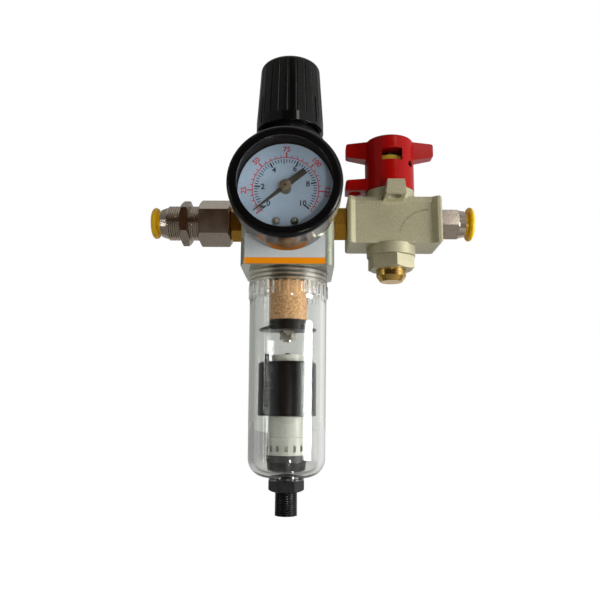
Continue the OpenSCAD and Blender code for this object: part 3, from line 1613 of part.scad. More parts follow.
module shutoff_spool() {
    land = spool_bore_r - running;
    waist = 3;
    groove = land - seal_groove_d;
    color("#c9c6bb") translate([handle_x, 0, 0]) rotate_extrude()
        polygon([
            [0, spool_low], [waist, spool_low], [waist, land_b_low], [land, land_b_low],
            [land, land_b_groove], [groove, land_b_groove], [groove, land_b_groove + seal_groove_h],
            [land, land_b_groove + seal_groove_h], [land, -land_gap], [waist, -land_gap], [waist, land_gap],
            [land, land_gap], [land, land_a_groove], [groove, land_a_groove], [groove, land_a_groove + seal_groove_h],
            [land, land_a_groove + seal_groove_h], [land, land_a_top], [0, land_a_top]
        ]);
}

module shutoff_seals() {
    section = 0.4;
    seat = spool_bore_r - running - section - seated;
    color("#1d1d1d") for (z = [land_b_groove, land_a_groove])
        translate([handle_x, 0, z + seal_groove_h / 2]) o_ring(seat, section);
}

module shutoff_spring() {
    wire = 0.55;
    coil_r = 5;
    coils = 3;
    color("#b9bbbd") translate([handle_x, 0, spring_low])
        coil_spring(coil_r, wire, coils, land_b_low - spring_low - 2 * seated);
}

module exhaust_plug() {
    hex_turn = 37;
    low_cut = 1.4;
    high_cut = 0.3;
    color("#b3ae93") translate([handle_x, 0, plug_low]) difference() {
        union() {
            rotate([0, 0, hex_turn]) hex_bar(plug_af, plug_h, low_cut, high_cut);
            translate([0, 0, plug_h - merge])
                cylinder(r = exhaust_chamber_r - seated, h = plug_spigot_h + merge + seated);
        }
        translate([0, 0, -cut]) cylinder(r = silencer_neck_r + seated, h = plug_h + plug_spigot_h + 3 * cut);
    }
}

module exhaust_silencer() {
    cone_h = silencer_h * 0.45;
    floor_t = 1.5;
    wall = 1;
    color("#b5852a") translate([handle_x, 0, silencer_low]) difference() {
        union() {
            cylinder(r1 = silencer_end_r, r2 = silencer_r, h = cone_h);
            translate([0, 0, cone_h]) cylinder(r = silencer_r, h = silencer_h - cone_h);
            translate([0, 0, silencer_h - merge]) cylinder(r = silencer_neck_r, h = plug_h);
        }
        translate([0, 0, floor_t]) cylinder(r = silencer_neck_r - wall, h = silencer_h + plug_h);
    }
}

module outlet_connector() {
    end = outlet_end - outlet_face;
    hex_cut = 0.8;
    color("#8d857b") along_outlet(outlet_face) difference() {
        union() {
            rotate([0, 0, outlet_turn]) hex_bar(outlet_af, outlet_hex_h, hex_cut, hex_cut);
            translate([0, 0, -outlet_thread_h]) cylinder(r = port_thread_r, h = outlet_thread_h + merge);
            translate([0, 0, outlet_hex_h - merge])
                cylinder(r1 = outlet_af / 2, r2 = outlet_nose_r, h = outlet_nose_h + merge);
        }
        translate([0, 0, -outlet_thread_h - cut]) cylinder(r = nipple_bore_r, h = outlet_thread_h + end);
        fitting_room(end);
    }
}

module outlet_collar() {
    along_outlet(outlet_collar_face) release_collar(outlet_flange_r, outlet_flange_t);
}

module outlet_collet() {
    along_outlet(outlet_face) collet_ring(outlet_end - outlet_face);
}

module outlet_tube_seal() {
    along_outlet(outlet_face) tube_seal_ring(outlet_end - outlet_face);
}

place() regulator_body();
place() front_label();
place() rear_port_plug();
place() bonnet();
place() bonnet_screws();
place() adjusting_knob();
place() adjusting_screw();
place() spring_seat();
place() regulating_spring();
place() diaphragm_plate();
place() diaphragm();
place() valve_stem();
place() valve_spring();
place() valve_guide();
place() element_deflector();
place() filter_element();
place() element_retainer();
place() element_stud();
place() bowl_seal();
place() bowl();
place() drain_float();
place() drain_guide_tube();
place() drain_housing();
place() drain_base_seal();
place() drain_spigot();
place() drain_nut();
place() gauge_socket();
place() gauge_case();
place() gauge_bezel();
place() gauge_lens();
place() gauge_dial();
place() gauge_dial_screws();
place() gauge_stop_pin();
place() gauge_pointer();
place() gauge_pinion();
place() gauge_sector();
place() gauge_movement_plates();
place() gauge_bourdon_tube();
place() inlet_nipple();
place() bulkhead_connector();
place() bulkhead_nut();
place() inlet_collar();
place() inlet_collet();
place() inlet_tube_seal();
place() outlet_nipple();
place() shutoff_body();
place() shutoff_handle();
place() shutoff_indicator();
place() shutoff_stem();
place() shutoff_spool();
place() shutoff_seals();
place() shutoff_spring();
place() handle_detent_screw();
place() exhaust_plug();
place() exhaust_silencer();
place() outlet_connector();
place() outlet_collar();
place() outlet_collet();
place() outlet_tube_seal();
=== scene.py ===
# %% [markdown]
# An air filter-regulator with a gauge, a clear bowl and a lock-out valve.
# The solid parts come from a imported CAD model, which stays where it is. This lesson gives every
# part its finish, and adds what is too fine or too soft for the CAD model: the printed dial, the
# pointer's bright hub, a smooth clear bowl, rounded collars, wound springs and a rubber sheet.
# Everything is in metres. The origin is the seat of the thread under the knob, +Z is up, and the
# gauge faces -Y.

# %% Load the frame
import math

import bmesh
import bpy
from mathutils import Matrix, Vector


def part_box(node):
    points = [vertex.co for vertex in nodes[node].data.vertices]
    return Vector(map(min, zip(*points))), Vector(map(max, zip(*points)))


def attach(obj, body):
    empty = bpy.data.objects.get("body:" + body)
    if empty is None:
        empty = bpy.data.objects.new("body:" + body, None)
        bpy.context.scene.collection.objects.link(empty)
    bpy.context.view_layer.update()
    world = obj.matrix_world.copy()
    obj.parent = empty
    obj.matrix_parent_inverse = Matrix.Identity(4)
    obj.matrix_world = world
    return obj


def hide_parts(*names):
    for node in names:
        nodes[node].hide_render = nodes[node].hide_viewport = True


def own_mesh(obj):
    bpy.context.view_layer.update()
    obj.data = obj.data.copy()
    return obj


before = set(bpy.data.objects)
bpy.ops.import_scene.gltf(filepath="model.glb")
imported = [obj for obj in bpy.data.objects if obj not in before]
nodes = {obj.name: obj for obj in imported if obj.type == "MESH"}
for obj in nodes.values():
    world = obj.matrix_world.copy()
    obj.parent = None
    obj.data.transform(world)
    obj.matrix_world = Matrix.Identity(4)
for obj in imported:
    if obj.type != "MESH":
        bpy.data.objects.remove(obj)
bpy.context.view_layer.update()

# %% [markdown]
# The camera comes first, because every later choice is judged through it.
# The photograph was taken from low down, close to the object, with the lens tipped up a little, so
# the undersides of the valve and of the body show. A camera can be set by eye, but here its place was
# worked out from known sizes, so that widths and heights can be compared.

# %% Camera
MM = 0.001
CAMERA_PLACE = (8.7 * MM, -266.7 * MM, -112.6 * MM)
TURN_LEFT = math.radians(0.7)
TIP_UP = math.radians(90.0 + 9.92)
ROLL = math.radians(0.42)
camera_data = bpy.data.cameras.new("camera")
camera_data.sensor_width = 36.0
camera_data.lens = 35.34
camera = bpy.data.objects.new("camera", camera_data)
camera.matrix_world = (
    Matrix.Translation(CAMERA_PLACE)
    @ Matrix.Rotation(TURN_LEFT, 4, "Z")
    @ Matrix.Rotation(TIP_UP, 4, "X")
    @ Matrix.Rotation(ROLL, 4, "Z")
)
scene = bpy.context.scene
scene.collection.objects.link(camera)
scene.camera = camera
print("camera lens:", camera_data.lens)

# %% [markdown]
# Colours and patterns are small programs of linked nodes. They could be drawn by hand in the node
# editor; here each helper makes one node and hands back its result, so a pattern reads like a sum.
# An input is either a plain value, which is set, or the result of another node, which is linked.

# %% Node helpers


def set_inputs(tree, node, inputs):
    for label, value in inputs.items():
        if isinstance(value, bpy.types.NodeSocket):
            tree.links.new(value, node.inputs[label])
        else:
            node.inputs[label].default_value = value


def add_node(tree, kind, inputs):
    node = tree.nodes.new(kind)
    set_inputs(tree, node, inputs)
    return node.outputs


def vector_node(tree, operation, *values):
    node = tree.nodes.new("ShaderNodeVectorMath")
    node.operation = operation
    set_inputs(tree, node, dict(enumerate(values)))
    return node.outputs["Value" if operation in ("DOT_PRODUCT", "LENGTH") else "Vector"]


def range_node(tree, value, start, end, low=0.0, high=1.0, smooth=False):
    node = tree.nodes.new("ShaderNodeMapRange")
    node.interpolation_type = "SMOOTHSTEP" if smooth else "LINEAR"
    inputs = {"Value": value, "From Min": start, "From Max": end, "To Min": low, "To Max": high}
    set_inputs(tree, node, inputs)
    return node.outputs["Result"]


def mix_colour(tree, factor, low, high):
    node = tree.nodes.new("ShaderNodeMix")
    node.data_type = "RGBA"
    set_inputs(tree, node, {"Factor": factor, "A": low, "B": high})
    return node.outputs["Result"]


def mix_shader(tree, factor, first, second):
    return add_node(tree, "ShaderNodeMixShader", {0: factor, 1: first, 2: second})["Shader"]


print("node helpers:", [helper.__name__ for helper in (vector_node, range_node, mix_colour, mix_shader)])

# %% [markdown]
# A product photograph like this one is cut out on white, but what it mirrors is the room.
# A picture of a room could be wrapped round the scene; a few blended tones are enough and easy to
# change. The world answers each kind of ray differently. The camera sees plain white. A ray that has
# passed through a clear part sees a grey backdrop, lighter on the right. A mirrored ray sees
# the room: light above and on the right, dim on the left, and dark brown behind the camera, which
# is what gives the plated fittings their dark front faces.

# %% World
scene.view_settings.view_transform = "Standard"
world = bpy.data.worlds.new("white_room")
scene.world = world
world.use_nodes = True
sky = world.node_tree
sky.nodes.clear()
direction = add_node(sky, "ShaderNodeTexCoord", {})["Generated"]


def facing(axis, start, end):
    toward = vector_node(sky, "DOT_PRODUCT", direction, axis)
    return range_node(sky, toward, start, end, smooth=True)


side = facing((1.0, 0.0, 0.0), start=-0.6, end=0.7)
above = facing((0.0, 0.15, 0.98), start=0.1, end=0.85)
behind_camera = facing((0.05, -0.975, 0.21), start=0.788, end=0.906)
beyond = facing((0.0, 1.0, 0.0), start=0.0, end=0.35)
print("world:", world.name)

# %% What each kind of ray sees
WHITE = (1.0, 1.0, 1.0, 1.0)
WALL_LEFT = (0.12, 0.12, 0.12, 1.0)
WALL_RIGHT = (0.6, 0.6, 0.59, 1.0)
CEILING = (0.25, 0.25, 0.24, 1.0)
BROWN = (0.046, 0.023, 0.01, 1.0)
BACKDROP_LEFT = (0.34, 0.35, 0.33, 1.0)
BACKDROP_RIGHT = (0.9, 0.9, 0.88, 1.0)


def background(colour):
    return add_node(sky, "ShaderNodeBackground", {"Color": colour})["Background"]


walls = mix_colour(sky, side, WALL_LEFT, WALL_RIGHT)
under_ceiling = mix_colour(sky, above, walls, CEILING)
room = mix_colour(sky, behind_camera, under_ceiling, BROWN)
backdrop = mix_colour(sky, beyond, room, mix_colour(sky, side, BACKDROP_LEFT, BACKDROP_RIGHT))
rays = add_node(sky, "ShaderNodeLightPath", {})
unseen = mix_shader(sky, rays["Is Transmission Ray"], background(room), background(backdrop))
seen = mix_shader(sky, rays["Is Camera Ray"], unseen, background(WHITE))
add_node(sky, "ShaderNodeOutputWorld", {"Surface": seen})
print("world nodes:", len(sky.nodes))

# %% [markdown]
# Lamps: a window to the right of the camera draws the white stripe down the bowl, and a
# broad soft panel hangs above. A small key lamp beside the camera lights the front: it is small, so
# the bezel throws a sharp shadow on the dial. Two thin strips on the left draw two fine lines on the
# bowl, and a narrow panel high on the right draws the pale streak down the knob. A soft panel
# behind lights the back for the other views; mirrors and clear parts do not see it.
# Flat panels are used for all of them, because a glossy part mirrors the shape of its lamp.

# %% Lamps
DAYLIGHT = (1.0, 1.0, 0.98)
BOWL_MIDDLE = (0.0, 0.0, -0.1)
GAUGE_MIDDLE = (0.0, -0.05, -0.03)
KNOB_MIDDLE = (0.0, 0.0, 0.03)
BELOW_PANEL = (0.05, 0.1, 0.0)


def panel_lamp(name, place, aim, width, height, power):
    data = bpy.data.lights.new(name, "AREA")
    data.shape = "RECTANGLE"
    data.size = width
    data.size_y = height
    data.energy = power
    data.color = DAYLIGHT
    lamp = bpy.data.objects.new(name, data)
    scene.collection.objects.link(lamp)
    lamp.location = place
    lamp.rotation_euler = (Vector(aim) - Vector(place)).to_track_quat("-Z", "Y").to_euler()
    return lamp


panel_lamp("window", (0.62, -0.27, -0.111), BOWL_MIDDLE, width=0.29, height=0.23, power=4.6)
panel_lamp("overhead", (0.05, 0.1, 0.85), BELOW_PANEL, width=1.2, height=1.2, power=1.1)
panel_lamp("key", (0.146, -0.6, -0.235), GAUGE_MIDDLE, width=0.05, height=0.05, power=0.9)
panel_lamp("strip_near", (-0.64, -0.4, -0.1), BOWL_MIDDLE, width=0.014, height=0.5, power=0.3)
panel_lamp("strip_far", (-0.7, -0.27, -0.1), BOWL_MIDDLE, width=0.014, height=0.5, power=0.3)
back_fill = panel_lamp("back_fill", (-0.35, 0.85, 0.2), BOWL_MIDDLE, width=0.6, height=0.6, power=1.8)
back_fill.visible_transmission = False
back_fill.visible_glossy = False
panel_lamp("knob_streak", (0.407, -0.765, 0.53), KNOB_MIDDLE, width=0.13, height=0.28, power=0.46)

# %% [markdown]
# The floor is a wide pale sheet well below the part, because the part hangs from its panel thread.
# One square of grid is enough for a flat sheet.

# %% Floor
FLOOR_Z = -0.42
FLOOR_HALF = 6.0
floor_mesh = bpy.data.meshes.new("floor")
bm = bmesh.new()
bmesh.ops.create_grid(bm, x_segments=1, y_segments=1, size=FLOOR_HALF)
bmesh.ops.translate(bm, vec=(0.0, 0.0, FLOOR_Z), verts=bm.verts)
bm.to_mesh(floor_mesh)
bm.free()
floor = bpy.data.objects.new("floor", floor_mesh)
scene.collection.objects.link(floor)
print("floor at", FLOOR_Z)

# %% [markdown]
# To the camera the floor is white wherever nothing shades it. Mirrors and clear parts see it too: it
# is bright behind the part, where the studio light falls, and dim in front. A lamp could do this, but
# a glow that changes with the place on the floor is steadier and adds no shadow of its own.

# %% Floor paint
FLOOR_MATT = (0.3, 0.29, 0.28, 1.0)
FLOOR_PALE = (0.35, 0.35, 0.35, 1.0)
FLOOR_GLOW = 0.92


def math_node(tree, operation, *values):
    node = tree.nodes.new("ShaderNodeMath")
    node.operation = operation
    set_inputs(tree, node, dict(enumerate(values)))
    return node.outputs["Value"]


def object_place(tree):
    return add_node(tree, "ShaderNodeTexCoord", {})["Object"]


def axes_of(tree, place):
    return add_node(tree, "ShaderNodeSeparateXYZ", {"Vector": place})


def glowing(tree, colour, strength):
    matt = add_node(tree, "ShaderNodeBsdfDiffuse", {"Color": colour})["BSDF"]
    glow = add_node(tree, "ShaderNodeEmission", {"Color": WHITE, "Strength": strength})["Emission"]
    return matt, add_node(tree, "ShaderNodeAddShader", {0: matt, 1: glow})["Shader"]


floor_paint = bpy.data.materials.new("floor_paint")
floor_paint.use_nodes = True
tree = floor_paint.node_tree
tree.nodes.clear()
axes = axes_of(tree, object_place(tree))
fade = range_node(tree, axes["Y"], start=0.15, end=0.55, low=0.03, high=0.6, smooth=True)
slant = range_node(tree, axes["X"], start=-0.8, end=0.8, low=0.35, high=1.2)
matt, mirrored = glowing(tree, FLOOR_MATT, math_node(tree, "MULTIPLY", fade, slant))
lit = glowing(tree, FLOOR_PALE, FLOOR_GLOW)[1]
rays = add_node(tree, "ShaderNodeLightPath", {})
indirect = math_node(tree, "MAXIMUM", rays["Is Glossy Ray"], rays["Is Transmission Ray"])
unseen = mix_shader(tree, indirect, matt, mirrored)
seen = mix_shader(tree, rays["Is Camera Ray"], unseen, lit)
add_node(tree, "ShaderNodeOutputMaterial", {"Surface": seen})
floor_mesh.materials.append(floor_paint)
print("floor paint nodes:", len(tree.nodes))

# %% [markdown]
# Several finishes share the same small effects: the fine grain of a moulding, the sparkle of
# metallic paint, and the lines that a lathe leaves. Each is made once, as a node group with named
# inputs, and every material places it with its own values. The first group is the grain: fine noise
# for the bumps, and broad noise that moves the roughness between a low and a high value.

# %% Moulded grain
FLOAT = "NodeSocketFloat"


def effect_group(name, inputs, outputs):
    group = bpy.data.node_groups.new(name, "ShaderNodeTree")
    for label, kind, value in inputs:
        socket = group.interface.new_socket(label, in_out="INPUT", socket_type=kind)
        socket.default_value = value
    for label, kind in outputs:
        group.interface.new_socket(label, in_out="OUTPUT", socket_type=kind)
    start = group.nodes.new("NodeGroupInput")
    result = group.nodes.new("NodeGroupOutput")
    return group, start.outputs, result


def noise(tree, place, scale, detail):
    inputs = {"Vector": place, "Scale": scale, "Detail": detail}
    return add_node(tree, "ShaderNodeTexNoise", inputs)["Fac"]


grain, given, result = effect_group(
    "moulded_grain",
    [
        ("Scale", FLOAT, 1500.0),
        ("Patch Scale", FLOAT, 60.0),
        ("Low", FLOAT, 0.3),
        ("High", FLOAT, 0.5),
    ],
    [("Height", FLOAT), ("Roughness", FLOAT)],
)
place = object_place(grain)
fine = noise(grain, place, given["Scale"], detail=3.0)
patches = noise(grain, place, given["Patch Scale"], detail=4.0)
rough = range_node(grain, patches, start=0.3, end=0.7, low=given["Low"], high=given["High"])
set_inputs(grain, result, {"Height": fine, "Roughness": rough})
print("group:", grain.name)

# %% [markdown]
# Metallic paint is a base colour with bright flakes, and old surfaces carry faint stains. Both are
# made from noise at two sizes: small spots lift the base to the flake's colour, and large soft
# patches pull it down a little.

# %% Flake colour
COLOUR = "NodeSocketColor"
STAIN_COLOUR = (0.12, 0.11, 0.08, 1.0)
STAIN_SCALE = 45.0
flake, given, result = effect_group(
    "flake_colour",
    [
        ("Base", COLOUR, (0.4, 0.4, 0.35, 1.0)),
        ("Flake", COLOUR, (0.8, 0.8, 0.7, 1.0)),
        ("Scale", FLOAT, 2600.0),
        ("Amount", FLOAT, 0.4),
        ("Stain", FLOAT, 0.12),
    ],
    [("Colour", COLOUR), ("Height", FLOAT)],
)
place = object_place(flake)
spots = noise(flake, place, given["Scale"], detail=2.0)
bright = range_node(flake, spots, start=0.52, end=0.7)
bright_share = math_node(flake, "MULTIPLY", bright, given["Amount"])
flaked = mix_colour(flake, bright_share, given["Base"], given["Flake"])
blotches = noise(flake, place, STAIN_SCALE, detail=5.0)
stain_share = math_node(flake, "MULTIPLY", blotches, given["Stain"])
stained = mix_colour(flake, stain_share, flaked, STAIN_COLOUR)
set_inputs(flake, result, {"Colour": stained, "Height": spots})
print("group:", flake.name)

# %% [markdown]
# A lathe leaves fine lines round the piece. A wave along the axis makes them, and a little noise keeps
# them from looking ruled. Cutting such lines into the mesh would cost far too many faces.

# %% Turned lines
VECTOR = "NodeSocketVector"
WAVE_SHARE = 0.25
turned, given, result = effect_group(
    "turned_lines",
    [
        ("Axis", VECTOR, (0.0, 0.0, 1.0)),
        ("Lines", FLOAT, 9000.0),
        ("Scratch Scale", FLOAT, 400.0),
    ],
    [("Height", FLOAT)],
)
place = object_place(turned)
along = vector_node(turned, "DOT_PRODUCT", place, given["Axis"])
wave = math_node(turned, "SINE", math_node(turned, "MULTIPLY", along, given["Lines"]))
scratches = noise(turned, place, given["Scratch Scale"], detail=3.0)
height = math_node(turned, "MULTIPLY_ADD", wave, WAVE_SHARE, scratches)
set_inputs(turned, result, {"Height": height})
print("group:", turned.name)

# %% [markdown]
# A finish starts from one Principled shader. The helpers below make it, put the values that are
# the same all over on the shader's own sockets, and place the shared groups. A bump takes its depth
# in microns, and a Bevel node rounds the sharp edges of the CAD mesh in the light only.

# %% Finish helpers
MICRON = 0.000001
COAT_ROUGH = 0.08
EDGE_SAMPLES = 6
finishes = {}


def srgb(red, green, blue):
    def linear(part):
        share = part / 255.0
        return share / 12.92 if share <= 0.04045 else ((share + 0.055) / 1.055) ** 2.4

    return (linear(red), linear(green), linear(blue), 1.0)


def start_finish(name, metallic=0.0, roughness=0.5, coat=0.0, shine=0.5):
    material = bpy.data.materials.new(name)
    material.use_nodes = True
    finishes[name] = material
    tree = material.node_tree
    shader = tree.nodes["Principled BSDF"]
    shader.inputs["Metallic"].default_value = metallic
    shader.inputs["Roughness"].default_value = roughness
    shader.inputs["Coat Weight"].default_value = coat
    shader.inputs["Coat Roughness"].default_value = COAT_ROUGH
    shader.inputs["Specular IOR Level"].default_value = shine
    return tree, shader


def place_group(tree, group, values):
    node = tree.nodes.new("ShaderNodeGroup")
    node.node_tree = group
    set_inputs(tree, node, values)
    return node.outputs


def flake_tint(tree, base, spark, scale, amount, stain):
    values = {"Base": base, "Flake": spark, "Scale": scale, "Amount": amount, "Stain": stain}
    return place_group(tree, flake, values)


def grain_skin(tree, scale, patch, low, high):
    return place_group(tree, grain, {"Scale": scale, "Patch Scale": patch, "Low": low, "High": high})


def bumped(tree, height, strength, microns, edge=0.0):
    inputs = {"Height": height, "Strength": strength, "Distance": microns * MICRON}
    if edge > 0.0:
        soft_edge = tree.nodes.new("ShaderNodeBevel")
        soft_edge.samples = EDGE_SAMPLES
        soft_edge.inputs["Radius"].default_value = edge
        inputs["Normal"] = soft_edge.outputs["Normal"]
    return add_node(tree, "ShaderNodeBump", inputs)["Normal"]


def dress(tree, shader, colour, rough, normal):
    set_inputs(tree, shader, {"Base Color": colour, "Roughness": rough, "Normal": normal})


print("groups to place:", [group.name for group in bpy.data.node_groups])

# %% [markdown]
# The knob, the handle, the collars and the drain are moulded plastic, and the seals are rubber.
# They differ in colour, in how rough they are, and in how coarse and deep the mould's grain is.
# One maker with a row of values for each is easier to tune than nine separate materials.

# %% Moulded plastics
SPARK_LIFT = 1.3
SPARK_SCALE = 0.6


def moulded(name, colour, low, high, grains, microns, shine=0.5, edge=0.2 * MM):
    tree, shader = start_finish(name, shine=shine)
    spark = tuple(min(1.0, part * SPARK_LIFT) for part in colour[:3]) + (1.0,)
    tint = flake_tint(tree, colour, spark, scale=grains * SPARK_SCALE, amount=0.3, stain=0.02)
    skin = grain_skin(tree, grains, patch=70.0, low=low, high=high)
    normal = bumped(tree, skin["Height"], strength=0.25, microns=microns, edge=edge)
    dress(tree, shader, tint["Colour"], skin["Roughness"], normal)


for name, colour, low, high, grains, microns, shine, edge in (
    ("knob_gloss", srgb(5, 6, 7), 0.08, 0.15, 1800.0, 4.0, 0.42, 0.2 * MM),
    ("black_moulding", srgb(9, 10, 12), 0.24, 0.36, 1400.0, 20.0, 0.32, 0.2 * MM),
    ("float_skin", srgb(6, 8, 11), 0.18, 0.28, 900.0, 3.0, 0.25, 0.2 * MM),
    ("red_moulding", srgb(156, 6, 5), 0.18, 0.26, 1500.0, 10.0, 0.27, 0.4 * MM),
    ("yellow_moulding", srgb(246, 190, 2), 0.28, 0.4, 1500.0, 20.0, 0.4, 0.5 * MM),
    # The indicator is the collars' yellow plastic; this darker, duller copy is painted shade for its
    # place inside the handle's window.
    ("shaded_indicator_yellow", srgb(168, 142, 30), 0.4, 0.55, 1500.0, 20.0, 0.5, 0.2 * MM),
    ("white_moulding", srgb(160, 160, 152), 0.3, 0.45, 1300.0, 20.0, 0.3, 0.2 * MM),
    ("inner_black", srgb(8, 8, 9), 0.3, 0.42, 1400.0, 20.0, 0.16, 0.2 * MM),
    ("rubber_black", srgb(24, 24, 24), 0.5, 0.7, 1100.0, 40.0, 0.5, 0.2 * MM),
):
    moulded(name, colour, low, high, grains, microns, shine, edge)
print("plastics:", list(finishes))

# %% [markdown]
# The castings are painted. The regulator's body has a glossy silver-green lacquer, and the
# valve a matt champagne paint with a visible sparkle, so both mix a little metal into the shader.
# The lacquer's gloss comes from a thin clear coat, which the matt paint does without.

# %% Painted castings
SKIN_SCALE = 0.5


def painted(name, colour, spark, metallic, low, high, scale, microns, coat):
    tree, shader = start_finish(name, metallic=metallic, coat=coat)
    tint = flake_tint(tree, colour, spark, scale, amount=0.5, stain=0.1)
    skin = grain_skin(tree, scale * SKIN_SCALE, patch=40.0, low=low, high=high)
    normal = bumped(tree, tint["Height"], strength=0.3, microns=microns, edge=0.35 * MM)
    dress(tree, shader, tint["Colour"], skin["Roughness"], normal)


for name, colour, spark, metallic, low, high, scale, microns, coat in (
    ("body_lacquer", srgb(168, 174, 156), srgb(205, 210, 196), 0.6, 0.2, 0.34, 2400.0, 20.0, 0.3),
    ("valve_paint", srgb(176, 170, 140), srgb(222, 216, 190), 0.35, 0.36, 0.5, 2600.0, 50.0, 0.0),
):
    painted(name, colour, spark, metallic, low, high, scale, microns, coat)
    print("paint:", name)

# %% [markdown]
# Something has rubbed across the valve's front and left a curved grey mark, faint at its lower
# end. The mark is a thin ring round a point on the front, cut to a quarter turn and broken by noise.
# It is drawn in the paint, because a raised piece would catch the light.

# %% Scuff on the valve
SCUFF_CENTRE = (63.8 * MM, 0.0, -39.1 * MM)
SCUFF_R = 13.6 * MM
SCUFF_HALF = 0.65 * MM
SCUFF_GREY = srgb(48, 46, 40)
RUB_SCALE = 700.0
SEEN_FROM_FRONT = (1.0, 0.0, 1.0)


def front_reach(tree, offset):
    return vector_node(tree, "LENGTH", vector_node(tree, "MULTIPLY", offset, SEEN_FROM_FRONT))


tree = finishes["valve_paint"].node_tree
shader = tree.nodes["Principled BSDF"]
place = object_place(tree)
from_centre = vector_node(tree, "SUBTRACT", place, SCUFF_CENTRE)
reach = front_reach(tree, from_centre)
off_line = math_node(tree, "ABSOLUTE", math_node(tree, "SUBTRACT", reach, SCUFF_R))
axes = axes_of(tree, from_centre)
rub = noise(tree, place, RUB_SCALE, detail=2.0)
mark = range_node(tree, off_line, 0.0, SCUFF_HALF, 1.0, 0.0, smooth=True)
for value, start, last, low, high in (
    (axes["X"], -13.5 * MM, -4.0 * MM, 0.6, 1.0),
    (axes["X"], -0.5 * MM, 0.3 * MM, 1.0, 0.0),
    (axes["Z"], 2.0 * MM, 4.0 * MM, 0.0, 1.0),
    (axes["Y"], -9.5 * MM, -8.5 * MM, 1.0, 0.0),
    (rub, 0.3, 0.52, 0.2, 1.0),
):
    share = range_node(tree, value, start, last, low, high, smooth=True)
    mark = math_node(tree, "MULTIPLY", mark, share)
paint_colour = shader.inputs["Base Color"].links[0].from_socket
set_inputs(tree, shader, {"Base Color": mix_colour(tree, mark, paint_colour, SCUFF_GREY)})
print("scuff radius:", SCUFF_R)

# %% [markdown]
# Brass, nickel and plated steel differ in colour and in how sharply they mirror the room.
# Their fine lines run round the axis on which the piece was turned, so brass comes in three finishes,
# one for each axis.

# %% Bare and plated metals
ALONG_X = (1.0, 0.0, 0.0)
ALONG_Y = (0.0, 1.0, 0.0)
ALONG_Z = (0.0, 0.0, 1.0)


def turned_metal(name, colour, dull, low, high, axis, lines, microns):
    tree, shader = start_finish(name, metallic=1.0)
    tint = flake_tint(tree, colour, dull, scale=900.0, amount=0.45, stain=0.15)
    skin = grain_skin(tree, scale=1200.0, patch=90.0, low=low, high=high)
    rings = place_group(tree, turned, {"Axis": axis, "Lines": lines})
    normal = bumped(tree, rings["Height"], strength=0.15, microns=microns, edge=0.05 * MM)
    dress(tree, shader, tint["Colour"], skin["Roughness"], normal)


for name, colour, dull, low, high, axis, lines, microns in (
    ("port_brass", srgb(196, 146, 52), srgb(140, 92, 26), 0.2, 0.34, ALONG_X, 24000.0, 6.0),
    ("upright_brass", srgb(216, 176, 98), srgb(160, 116, 52), 0.16, 0.28, ALONG_Z, 24000.0, 6.0),
    ("gauge_brass", srgb(205, 160, 80), srgb(150, 105, 45), 0.22, 0.36, ALONG_Y, 24000.0, 6.0),
    ("port_nickel", srgb(205, 192, 178), srgb(160, 145, 130), 0.14, 0.26, ALONG_X, 30000.0, 4.0),
    ("plated_steel", srgb(200, 196, 186), srgb(160, 156, 146), 0.18, 0.32, ALONG_Z, 26000.0, 5.0),
    ("turned_aluminium", srgb(205, 205, 200), srgb(170, 170, 165), 0.22, 0.36, ALONG_Z, 22000.0, 6.0),
    # This dark finish is the detent screw's own black steel. On the aluminium stem it is painted shade
    # for the dark inside of the handle's window.
    ("black_steel_and_painted_shade", srgb(52, 52, 52), srgb(30, 30, 30), 0.3, 0.45, ALONG_X, 22000.0, 6.0),
    ("hub_bronze", srgb(168, 150, 122), srgb(120, 104, 80), 0.25, 0.4, ALONG_Y, 24000.0, 6.0),
):
    turned_metal(name, colour, dull, low, high, axis, lines, microns)
    print("metal:", name)

# %% [markdown]
# The gauge's steel parts are bare outside and dark inside. The bezel is black enamel in front and
# on its inner wall, and its rim is bare steel; the case is polished outside and blackened inside.
# Each could be cut into two meshes, but a piece of the CAD model stays whole, so one group measures
# how far a point lies from the gauge's axis, and the finish chooses its two tones from that.

# %% Distance from the gauge's axis
PORT_Z = -29.7 * MM
from_axis, given, result = effect_group(
    "outside_gauge_radius", [("Radius", FLOAT, 0.02)], [("Mask", FLOAT)]
)
from_middle = vector_node(from_axis, "SUBTRACT", object_place(from_axis), (0.0, 0.0, PORT_Z))
reach = front_reach(from_axis, from_middle)
set_inputs(from_axis, result, {"Mask": math_node(from_axis, "GREATER_THAN", reach, given["Radius"])})
print("group:", from_axis.name)

# %% Two-tone steel
ENAMEL_DEPTH = 2.6 * MM
RIM = 0.5 * MM
LIP = 1.0 * MM
INNER_WALL = 19.8 * MM
INNER_MATT = 0.6
STEEL = srgb(98, 90, 80)
DULL = 0.8
STEEL_DULL = tuple(part * DULL for part in STEEL[:3]) + (1.0,)
bezel_low, bezel_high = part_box("gauge_bezel")
case_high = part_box("gauge_case")[1]


